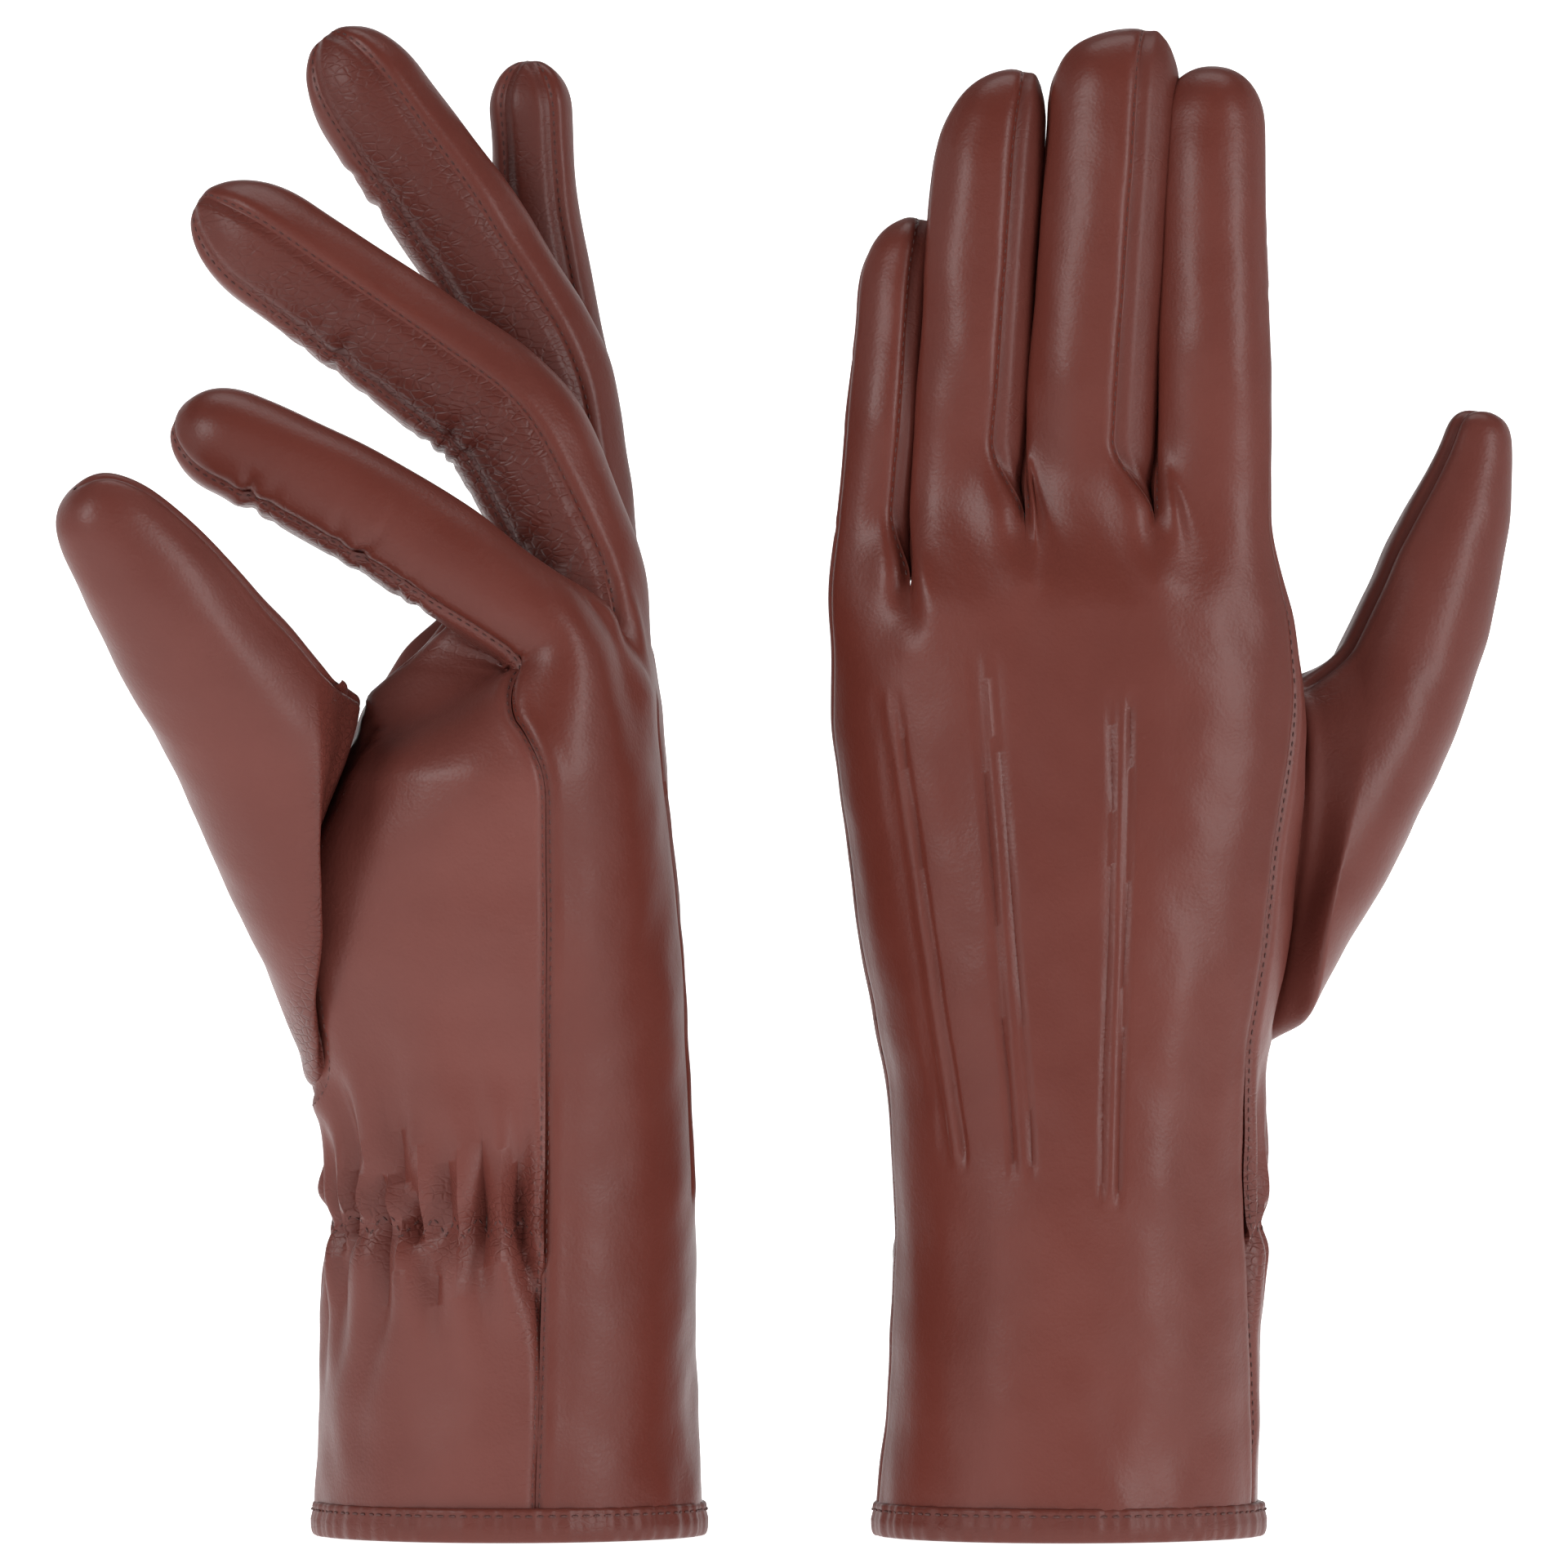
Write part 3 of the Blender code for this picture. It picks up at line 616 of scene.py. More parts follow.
def fingerRows(finger, low, high):
    total = sum(finger["reach"])
    rounding = finger["blunt"] * finger["width"]
    if high < total - rounding:
        return np.linspace(low, high, max(4, int((high - low) / spacing) + 1))
    return tipRows(low, total, rounding)


def fingerCrease(glove, name, s, angle):
    # cross folds on the palm side of a bent finger, at its middle joint and its root, and painted shade over
    # them
    finger = glove["fingers"][name]
    root, middle = finger["reach"]
    rng = np.random.default_rng(20 + fingerNames.index(name) + 7 * (glove["side"] == "left"))
    onPalm = hump((angle - 90 + 180) % 360 - 180, 0, 62)
    lift, strength = 0, finger["crease"]
    for place, span, count in ((root, 13, 7), (root + 0.5 * middle, 12, 5), (3.0, 9, 5)):
        for _ in range(count):
            at = place + rng.uniform(-span, span)
            wave = at + 1.3 * np.sin(np.radians(angle) * rng.uniform(1.5, 3.5) + rng.uniform(0, 6))
            deep = strength * rng.uniform(0.25, 0.8) * hump(at, place, span)
            side = hump((angle - rng.uniform(40, 140) + 180) % 360 - 180, 0, 46)
            lift = lift - deep * side * hump(s, wave, 0.95) + 0.5 * deep * side * hump(s, wave + 2.2, 1.5)
    # painted shade on the palm side over the folds, carried in the crease layer that darkens the leather; it
    # also sets where the leather crackles
    shade = hump(s, root, 15) + 0.5 * hump(s, root + 0.5 * middle, 14) + 0.5 * hump(s, 2, 10)
    shade = strength * onPalm * shade
    return lift, np.clip(shade + 0.2 * strength, 0, 1)


def bendZones(glove, name):
    # where the leather bends at the root, where the finger's two pieces meet, and where it is straight again
    number, reach = fingerNames.index(name), glove["fingers"][name]["reach"][0]
    beside = [glove["crotch"][k] for k in (number - 1, number) if 0 <= k <= 2]
    low = max(beside) - glove["roots"][name] - 1.0
    meet = (low + reach) / 2 + 1.5
    return low, meet, 2 * reach - meet


def blendFinger(glove, name, obj, end):
    line, side = glove["lines"][name], glove["side"] + "_"
    zone = bendZones(glove, name)
    zone = zone[1:] if end else zone[:2]
    start, stop = [toWorld(glove, lookUp(line, "middle", np.array(d))) for d in zone]
    if end:
        side + name + "_lower"
        side + name + "_end"
        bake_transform(obj)
    else:
        side + "hand"
        side + name + "_lower"
        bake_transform(obj)


def fingerSheetGrid(glove, name, back, end):
    # points, lift and crease of one sheet on one finger
    finger, root = glove["fingers"][name], glove["roots"][name]
    cutAt, total = bendZones(glove, name)[1], sum(finger["reach"])
    s = fingerRows(finger, cutAt, total) if end else fingerRows(finger, glove["split"] - root, cutAt)
    share = columnsFor(finger)
    points = laneSheet(glove, name, back, s, share)
    first, last = edgeDistance(points)
    number = fingerNames.index(name)
    fade = np.clip(fingerSize(finger, s) * 1.5, 0, 1)[:, None]
    lift = softLift(points) * fade
    for distance, edge in ((first, number - 1), (last, number)):
        seamed = np.ones_like(s)
        if 0 <= edge <= 2:
            crotch = glove["crotch"][edge] - root
            seamed = step(s, crotch - 3, crotch + 2)
        lift = lift + seamCurl(distance) * seamed[:, None] * fade
    arc = sheetArc(finger, back)
    angle = mix(arc[0], arc[1], share)[None, :]
    folds, crease = fingerCrease(glove, name, s[:, None], angle)
    lift = lift + folds * fade
    below = (s < 0)[:, None]
    if back:
        lift = lift + ridgeLift(points) * below
    elif not end:
        w = (root + s)[:, None] + 0 * points[..., 0]
        edges = [seamAngle(glove, w[:, 0]), *[np.full(len(s), lane) for lane in laneAngles(False)],
                 np.full(len(s), littleSeam)]
        onHand = edges[number][:, None] + (edges[number + 1] - edges[number])[:, None] * share[None, :]
        lift = lift + holeLift(glove, points, w, onHand)[0] * below
    return s, points, lift, crease + 0 * points[..., 0]


def lineMiddle(glove, name, s):
    return lookUp(glove["lines"][name], "middle", s)[:, None, :]


def wallFade(finger, s):
    # walls and lifts die away where a fingertip closes
    return np.clip(fingerSize(finger, s) * 1.6, 0, 1)[:, None]


def buildFingerSheet(glove, name, back, end):
    s, points, lift, crease = fingerSheetGrid(glove, name, back, end)
    finger, side = glove["fingers"][name], glove["side"]
    fade = wallFade(finger, s)
    part = ("tip_" if end else "") + ("back" if back else "palm")
    title = f"{side}_{name}_{part}_leather"
    obj, outside, normals = leatherGrid(glove, title, points, lineMiddle(glove, name, s),
                                        leather["back" if back else "palm"], wall=0.95 * fade, lift=lift,
                                        layers={"crease": np.clip(crease, 0, 1)})
    if end:
        weld(obj)
    blendFinger(glove, name, obj, end)
    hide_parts(f"{side}_{name}_{part}")
    return outside, normals, s


def buildFork(glove, name, thumbSide, end, backEdge, palmEdge, s):
    # the strip between two fingers, from the crotch towards the tip
    finger, side = glove["fingers"][name], glove["side"]
    root, number = glove["roots"][name], fingerNames.index(name)
    crotch = glove["crotch"][number - 1 if thumbSide else number] - root
    keep = s >= crotch - 0.1
    s, backEdge, palmEdge = s[keep], backEdge[keep], palmEdge[keep]
    low, high = finger["thumbArc"] if thumbSide else finger["littleArc"][::-1]
    share = easedColumns(int(1.5 * finger["depth"] / spacing) + 5)[None, :]
    onFinger = fingerPoint(glove, name, s[:, None], mix(low, high, share))
    backGap = (backEdge - onFinger[:, 0])[:, None, :] * (1 - share)[..., None]
    palmGap = (palmEdge - onFinger[:, -1])[:, None, :] * share[..., None]
    straight = mix(backEdge[:, None, :], palmEdge[:, None, :], share[..., None])
    points = mix(straight, onFinger + backGap + palmGap, step(s, crotch, crotch + 11)[:, None, None])
    first, last = edgeDistance(points)
    fade = wallFade(finger, s)
    puff = 0.35 * np.sin(math.pi * share) * fade
    folds, crease = fingerCrease(glove, name, s[:, None], mix(low, high, share))
    lift = puff + 0.22 * hump(first, 2.0, 1.0) + 0.22 * hump(last, 2.0, 1.0) + folds * fade * 0.8
    lift = lift * np.minimum(1, np.minimum(first, last) / 1.5)
    part = "thumb_fork" if thumbSide else "little_fork"
    title = f"{side}_{name}_{part}_" + ("tip_leather" if end else "leather")
    # painted shade: the crease layer is raised by a quarter all along, darkening the strip between the
    # fingers; it also adds crackle
    obj = leatherGrid(glove, title, points, lineMiddle(glove, name, s), leather["fork"], wall=0.8 * fade,
                      lift=lift, layers={"crease": np.clip(crease + 0.25, 0, 1)})[0]
    if end:
        weld(obj)
    else:
        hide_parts(f"{side}_{name}_{part}")
    blendFinger(glove, name, obj, end)


def buildFinger(glove, name):
    number = fingerNames.index(name)
    seams = {}
    for end in (False, True):
        backOut, backNormals, s = buildFingerSheet(glove, name, True, end)
        palmOut, palmNormals, s = buildFingerSheet(glove, name, False, end)
        seams[end] = (backOut, backNormals, palmOut, palmNormals, s)
        if number > 0:
            buildFork(glove, name, True, end, backOut[:, 0], palmOut[:, 0], s)
        if number < 3:
            buildFork(glove, name, False, end, backOut[:, -1], palmOut[:, -1], s)
    return seams


def thumbTable(glove):
    keys = np.array(glove["thumb"]["line"], float)
    run = np.concatenate([[0], np.cumsum(np.linalg.norm(np.diff(keys[:, :3], axis=0), axis=1))])
    t, columns = smoothTable(np.column_stack([run, keys]), width=6.0)
    middle = np.stack(columns[:3], -1)
    # smoothing holds back at the ends, so the last stretch is drawn out to the tip again
    middle = middle + (keys[-1, :3] - middle[-1]) * step(t, t[-1] - 14, t[-1])[:, None]
    along = unit(np.gradient(middle, axis=0))
    inner = np.array([*glove["thumb"]["inner"], 0.0])
    toHand = unit(inner - along * (along @ inner)[:, None])
    return {"t": t, "middle": middle, "radius": columns[3], "along": along,
            "toHand": toHand, "across": np.cross(along, toHand)}


def thumbPoint(glove, t, turn):
    table = glove["thumbTable"]
    t, turn = np.broadcast_arrays(np.asarray(t, float), np.asarray(turn, float))
    middle, toHand, across = [pick(t, table["t"], table[key]) for key in ("middle", "toHand", "across")]
    radius = np.interp(t, table["t"], table["radius"])
    tip = table["t"][-1]
    past = np.clip((t - (tip - radius)) / radius, 0, 1)
    radius = radius * np.sqrt(np.maximum(1 - past ** 2.2, 0))
    return (middle + toHand * (radius * np.cos(np.radians(turn)))[..., None]
            + across * (radius * np.sin(np.radians(turn)))[..., None]), radius


def thumbStart(glove, turn):
    # where the thumb's tube leaves the hand, for each turn round it
    table = glove["thumbTable"]
    edge = holeCurve(glove, turn)
    t = table["t"][None, :]
    points = thumbPoint(glove, t, turn[:, None])[0]
    nearest = table["t"][np.argmin(np.linalg.norm(points - edge[:, None, :], axis=-1), axis=1)]
    kernel = np.exp(-(np.arange(-12, 13) / 6.0) ** 2)
    return np.convolve(np.pad(nearest, 12, "wrap"), kernel / kernel.sum(), "valid"), edge


def nearestOn(glove, point):
    table = glove["thumbTable"]
    return float(table["t"][np.argmin(np.linalg.norm(table["middle"] - point, axis=1))])


def thumbMiddle(glove, t):
    table = glove["thumbTable"]
    return pick(t, table["t"], table["middle"])


def buildThumb(glove):
    side, table = glove["side"], glove["thumbTable"]
    turn = glove["thumb"]["seam"] + 360 * easedColumns(int(78 / spacing), 0.6)
    start, edge = thumbStart(glove, turn[:-1])
    start, edge = np.append(start, start[0]), np.concatenate([edge, edge[:1]])
    onTube = thumbPoint(glove, start, turn)[0]
    tip = table["t"][-1]
    at = nearestOn(glove, pivotOf(glove, "thumb_middle"))
    low = nearestOn(glove, holeCurve(glove, np.array([0.0]))[0])
    meet = (low + at) / 2 + 1
    rounding = float(np.interp(tip, table["t"], table["radius"]))
    seams = {}
    for end in (False, True):
        if end:
            t = tipRows(meet, tip, rounding)[:, None] + 0 * turn[None, :]
        else:
            share = np.linspace(0, 1, int(75 / spacing)) ** 1.15
            t = start[None, :] + (meet - start)[None, :] * share[:, None]
        points, radius = thumbPoint(glove, t, turn[None, :])
        away = np.maximum(t - start[None, :], 0)
        pullLength = 12 + 5 * np.cos(np.radians(turn))[None, :]
        points = points + (edge - onTube)[None, :, :] * (1 - step(away / pullLength, 0, 1))[..., None]
        first, last = edgeDistance(points)
        fade = np.clip(radius / 6.0, 0, 1)
        seamed = 1.0 if end else step(t, low + 1, low + 7)
        lift = (seamCurl(first) + seamCurl(last)) * fade * seamed + softLift(points) * fade
        lift = lift - 0.95 * np.exp(-(away / 1.0) ** 2) + 0.3 * hump(away, 2.8, 1.5)
        # painted shade: the crease layer darkens the thumb near where it leaves the hand, and a little all
        # over; it also sets where the leather crackles
        crease = glove["thumb"]["crease"] * (0.4 + 0.8 * hump(away, 6, 10)) + 0 * radius
        part = "tip" if end else "lower"
        middles = thumbMiddle(glove, t[:, 0]) if end else points.mean(axis=1)
        obj, outside, normals = leatherGrid(
            glove, f"{side}_thumb_{part}_leather", points[:, :-1], middles[:, None, :], leather["thumb"],
            wall=0.95 * fade[:, :-1], lift=lift[:, :-1], layers={"crease": np.clip(crease, 0, 1)[:, :-1]},
            around=True)
        if end:
            weld(obj)
            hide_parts(side + "_thumb_tip")
        else:
            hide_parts(side + "_thumb_lower", side + "_thumb_gusset")
        seams[end] = (obj, outside, normals)
        blendThumb(glove, obj, end, low, meet, at)
    print(side, "thumb bends from", round(low, 1), "to", round(meet, 1), "and at", round(at, 1))
    return seams


def blendThumb(glove, obj, end, low, meet, at):
    zone = (meet, 2 * at - meet) if end else (low, meet)
    begin, stop = [toWorld(glove, thumbMiddle(glove, d)) for d in zone]
    pair = ("_thumb_base", "_thumb_end") if end else ("_hand", "_thumb_base")
    glove["side"] + pair[0]
    glove["side"] + pair[1]
    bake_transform(obj)


# the hem: a folded strip round the cuff, with a row of stitches
hem = {"height": 6.0, "top": 5.6, "halfThick": 1.35, "offset": -0.35, "square": 3.2, "stitchHeight": 4.6}


def outlineNormals(points):
    ahead = np.roll(points, -1, axis=0) - np.roll(points, 1, axis=0)
    side = unit(np.stack([ahead[:, 1], -ahead[:, 0], 0 * ahead[:, 0]], -1))
    middle = points.mean(axis=0)
    return side * np.sign(((points - middle) * side).sum(-1))[:, None]


def buildHem(glove):
    angle = np.linspace(0, 360, int(210 / spacing), endpoint=False)
    outline = handPoint(glove, 3.0, angle)
    away = outlineNormals(outline)
    turn = np.linspace(0, 360, 21)[:-1]
    offset, height = roundPoint(hem["halfThick"], hem["height"] / 2, turn, hem["square"])
    run = np.radians(angle) * 33
    wrinkle = 0.14 * np.sin(run * 1.9 + 1.5 * np.sin(run * 0.31)) + 0.12 * np.sin(run * 0.83 + 2)
    wave = 0.35 * np.sin(np.radians(angle) * 3 + 1)
    stitched = 0.35 * hump(height + 3, hem["stitchHeight"], 0.5) * (offset > 0)
    out = hem["offset"] + offset[:, None] + np.where(offset[:, None] > 0, wrinkle[None, :], 0)
    out = out - stitched[:, None]
    points = outline[None, :, :] + away[None, :, :] * (out + wave[None, :])[..., None]
    points[..., 2] = (height + hem["height"] / 2)[:, None] + 0 * angle
    rows, columns = points.shape[:2]
    index = np.arange(rows * columns).reshape(rows, columns)
    p, q = index, np.roll(index, -1, axis=0)
    faces = np.stack([p, np.roll(p, -1, axis=1), np.roll(q, -1, axis=1), q], -1).reshape(-1, 4)
    if glove["mirrored"]:
        faces = faces[:, ::-1]
    obj = newMesh(glove["side"] + "_cuff_hem", toWorld(glove, points), faces.tolist(), leather["edge"],
                  {"crease": np.full(rows * columns, 0.35)})
    editMesh(obj, (bpy.ops.mesh.normals_make_consistent, {"inside": False}))
    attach(obj, glove["side"] + "_hand")
    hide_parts(glove["side"] + "_cuff_binding")
    row = outline + away * (hem["offset"] + hem["halfThick"] - 0.22 + wrinkle + wave)[:, None]
    row[:, 2] = hem["stitchHeight"]
    return np.concatenate([row, row[:1]]), np.concatenate([away, away[:1]])


def buildSleeve(glove, node, inset, wall, material, name):
    # the knit lining and the wrist elastic are tubes inside the cuff
    low, high = [corner.z / mm for corner in map(Vector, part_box(glove["side"] + "_" + node))]
    w = np.arange(low + 0.4, min(high, glove["split"] - 8), 2.0)
    angle = np.linspace(0, 360, 120, endpoint=False)
    first, last = sleeveSpan[node]
    if last - first < 360:
        angle = np.linspace(first, last, 70)
    points = handPoint(glove, w[:, None], angle[None, :], inset)
    pressed = hump(w, gathers["height"], 20)[:, None] * hump((angle + 120) % 360, 200, 95)[None, :]
    lift = 0.12 * softNoise(points, 22.0) - 3.6 * pressed
    obj = leatherGrid(glove, glove["side"] + "_" + name, points, handMiddle(w), material, wall=wall,
                      lift=lift, layers={"crease": 0.0}, around=last - first == 360)[0]
    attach(obj, glove["side"] + "_hand")
    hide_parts(glove["side"] + "_" + node)


sleeveSpan = {"lining_sleeve": (0, 360), "wrist_elastic": (4, 166)}

# stitches
stitch = {"radius": 0.24, "length": 1.35, "step": 2.1, "sink": 0.05}


def beadShape():
    # one stitch, lying along x with z out of the leather
    rings = [(-0.5, 0.0), (-0.42, 0.62), (-0.15, 1.0), (0.15, 1.0), (0.42, 0.62), (0.5, 0.0)]
    verts, faces = [], []
    for x, size in rings[1:-1]:
        for k in range(5):
            turn = 2 * math.pi * k / 5
            verts.append((x, size * math.cos(turn), size * math.sin(turn)))
    for ring in range(3):
        for k in range(5):
            a, b = ring * 5 + k, ring * 5 + (k + 1) % 5
            faces.append((a, b, b + 5, a + 5))
    faces.append((0, 4, 3, 2, 1))
    faces.append((15, 16, 17, 18, 19))
    return np.array(verts), faces


def resample(points, normals, gap):
    run = np.concatenate([[0], np.cumsum(np.linalg.norm(np.diff(points, axis=0), axis=1))])
    count = int(run[-1] / gap)
    places = (np.arange(count) + 0.5) * gap
    ahead = pick(places + 0.3, run, points) - pick(places - 0.3, run, points)
    return pick(places, run, points), unit(ahead), unit(pick(places, run, normals))


def sew(glove, name, runs, size=1.0):
    # rows of stitches: each run is a line of points and the leather's normals along it
    shape, shapeFaces = beadShape()
    verts, faces, base = [], [], 0
    for points, normals in runs:
        if len(points) < 3:
            continue
        places, ahead, up = resample(points, normals, stitch["step"] * size)
        side = unit(np.cross(up, ahead))
        up = np.cross(ahead, side)
        for place, x, y, z in zip(places, ahead, side, up):
            local = (shape[:, :1] * x * stitch["length"] + shape[:, 1:2] * y * stitch["radius"]
                     + shape[:, 2:] * z * stitch["radius"]) * size
            verts.append(place + local - z * stitch["sink"])
            faces += [tuple(base + k for k in face) for face in shapeFaces]
            base += len(shape)
    allVerts = toWorld(glove, np.concatenate(verts))
    if glove["mirrored"]:
        faces = [face[::-1] for face in faces]
    obj = newMesh(glove["side"] + "_" + name, allVerts, faces, leather["thread"])
    obj.data.shade_smooth()
    return obj


def alongEdge(points, normals, distance, fromEnd):
    # the line on a sheet that keeps one distance from an edge
    grid, upright = (points[:, ::-1], normals[:, ::-1]) if fromEnd else (points, normals)
    run = edgeDistance(grid)[0]
    line, ups = [], []
    for row in range(len(grid)):
        if run[row, -1] < 2.5 * distance:
            break
        line.append([np.interp(distance, run[row], grid[row, :, k]) for k in range(3)])
        ups.append([np.interp(distance, run[row], upright[row, :, k]) for k in range(3)])
    return np.array(line), np.array(ups)


def onSheet(sheet, w, angle):
    # a point on a finished hand sheet, with its normal
    row = float(np.interp(w, sheet["w"], np.arange(len(sheet["w"]))))
    first = min(int(row), len(sheet["w"]) - 2)
    found = []
    for data in (sheet["points"], sheet["normals"]):
        ends = [[np.interp(angle, sheet["angle"][k], data[k, :, axis]) for axis in range(3)]
                for k in (first, first + 1)]
        found.append(mix(np.array(ends[0]), np.array(ends[1]), row - first))
    return found


def sheetLine(sheet, places):
    found = [onSheet(sheet, w, angle) for w, angle in places]
    return np.array([f[0] for f in found]), np.array([f[1] for f in found])


def ridgeLine(sheet, line, offset, topEnd):
    # one row of places down a back ridge, on the finished sheet
    (topU, topW), (lowU, lowW) = line
    heights = np.arange(lowW, min(topW, topEnd), 1.0)
    across = np.interp(heights, [lowW, topW], [lowU, topU]) + offset
    return sheetLine(sheet, [(w, sideAngle(w, u)) for w, u in zip(heights, across)])


def buildRidges(glove, sheet):
    # the leather pinched up along each ridge, between its two rows of stitches
    for number, line in enumerate(backRidges["lines"]):
        points, normals = ridgeLine(sheet, line, 0.0, glove["split"])
        run = np.arange(len(points), dtype=float)
        size = (step(run, -1, 6) * (1 - step(run, run[-1] - 9, run[-1] + 1)))[:, None, None]
        side = unit(np.cross(np.gradient(points, axis=0), normals))
        turn = np.linspace(0.05 * math.pi, 0.95 * math.pi, 9)[None, :, None]
        rim = (side[:, None] * np.cos(turn) * backRidges["cord"] * (0.3 + 0.7 * size)
               + normals[:, None] * (np.sin(turn) * backRidges["rise"] * size - backRidges["sunk"]))
        obj = leatherGrid(glove, f"{glove['side']}_ridge_{number}", points[:, None] + rim,
                          (points - normals)[:, None], leather["back"], wall=0.35)[0]
        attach(obj, glove["side"] + "_hand")


def sewHand(glove, sheets, hemRow):
    back, palm = sheets["back"], sheets["palm"]
    runs = [ridgeLine(back, line, offset, glove["split"]) for line in backRidges["lines"]
            for offset in (-backRidges["half"], backRidges["half"])]
    ridges = sew(glove, "ridge_stitches", runs)
    buildRidges(glove, back)
    edges = []
    for sheet in (back, palm):
        for fromEnd in (False, True):
            edges.append(alongEdge(sheet["points"], sheet["normals"], 0.75, fromEnd))
    seams = sew(glove, "side_seam_stitches", edges, 0.8)
    zigzag, first = [], float(seamAngle(glove, gathers["height"])) + 3
    for k, angle in enumerate(np.arange(first, gathers["last"] + 4, 3.6)):
        zigzag.append((gathers["height"] + (1.6 if k % 2 else -1.6), angle))
    places = []
    for (wA, a), (wB, b) in zip(zigzag[:-1], zigzag[1:]):
        places += [(mix(wA, wB, t), mix(a, b, t)) for t in (0, 0.25, 0.5, 0.75)]
    elastic = sew(glove, "elastic_stitches", [sheetLine(palm, places)], 0.9)
    inPalm = [place for place in zip(*holePlace(glove, np.arange(0, 361, 1.5), 2.0))
              if place[0] < glove["split"] - 1 and place[1] > float(seamAngle(glove, place[0])) + 3]
    thumb = sew(glove, "thumb_hole_stitches", [sheetLine(palm, inPalm)], 0.8)
    hemmed = sew(glove, "hem_stitches", [hemRow])
    for obj in (ridges, seams, elastic, thumb, hemmed):
        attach(obj, glove["side"] + "_hand")


def sewFinger(glove, name, seams):
    for end, (backOut, backNormals, palmOut, palmNormals, s) in seams.items():
        runs = []
        for points, normals in ((backOut, backNormals), (palmOut, palmNormals)):
            for fromEnd in (False, True):
                number = fingerNames.index(name) - (0 if fromEnd else 1)
                keep = s > (glove["crotch"][number] - glove["roots"][name] if 0 <= number <= 2 else -99)
                runs.append(alongEdge(points[keep], normals[keep], 0.7, fromEnd))
        obj = sew(glove, f"{name}_seam_stitches_" + ("end" if end else "root"), runs, 0.8)
        blendFinger(glove, name, obj, end)


class Wire:
    # what comes out of a node, and can be added, taken away and multiplied
    def __init__(self, finish, socket):
        self.finish, self.socket = finish, socket

    def sum(self, operation, first, second):
        return self.finish.node("ShaderNodeMath", {"operation": operation}, {0: first, 1: second})

    def __add__(self, other):
        return self.sum("ADD", self, other)

    def __radd__(self, other):
        return self.sum("ADD", other, self)

    def __sub__(self, other):
        return self.sum("SUBTRACT", self, other)

    def __rsub__(self, other):
        return self.sum("SUBTRACT", other, self)

    def __mul__(self, other):
        return self.sum("MULTIPLY", self, other)

    def __rmul__(self, other):
        return self.sum("MULTIPLY", other, self)


class Finish:
    # one material: its nodes are added through node(), and its shader is set through surface()
    def __init__(self, name, slot):
        self.material = bpy.data.materials.new(name)
        self.material.use_nodes = True
        self.material["slot"] = slot
        self.tree = self.material.node_tree
        self.shader = self.tree.nodes["Principled BSDF"]

    def put(self, value, socket):
        if isinstance(value, Wire):
            self.tree.links.new(value.socket, socket)
        else:
            socket.default_value = value

    def node(self, kind, settings, sockets, output=0):
        made = self.tree.nodes.new(kind)
        for key, value in settings.items():
            if key == "stops":
                for element, (place, colour) in zip(made.color_ramp.elements, value):
                    element.position, element.color = place, colour
            else:
                setattr(made, key, value)
        for key, value in sockets.items():
            self.put(value, made.inputs[key])
        return Wire(self, made.outputs[output])

    def surface(self, **sockets):
        for key, value in sockets.items():
            self.put(value, self.shader.inputs[key.replace("_", " ")])
        return self.material

    def place(self, shift=(0, 0, 0), size=(1, 1, 1)):
        here = self.node("ShaderNodeTexCoord", {}, {}, "Object")
        return self.node("ShaderNodeMapping", {}, {"Vector": here, "Location": shift, "Scale": size})

    def noise(self, where, scale, detail=2.0, rough=0.5):
        return self.node("ShaderNodeTexNoise", {}, {"Vector": where, "Scale": scale, "Detail": detail,
                                                    "Roughness": rough})

    def cells(self, where, scale, feature="F1", soft=0.6):
        settings, sockets = {"feature": feature}, {"Vector": where, "Scale": scale}
        if feature == "SMOOTH_F1":
            sockets["Smoothness"] = soft
        return self.node("ShaderNodeTexVoronoi", settings, sockets, "Distance")

    def colours(self, factor, dark, light):
        return self.blended(factor, (*dark, 1), (*light, 1))

    def blended(self, factor, first, second):
        return self.node("ShaderNodeMix", {"data_type": "RGBA"}, {0: factor, 6: first, 7: second}, 2)

    def ramp(self, value, low, high):
        return self.node("ShaderNodeMapRange", {"interpolation_type": "SMOOTHSTEP"},
                         {"Value": value, "From Min": low, "From Max": high})

    def bump(self, height, distance, strength=1.0, under=None):
        sockets = {"Height": height, "Distance": distance, "Strength": strength}
        if under is not None:
            sockets["Normal"] = under
        return self.node("ShaderNodeBump", {}, sockets)


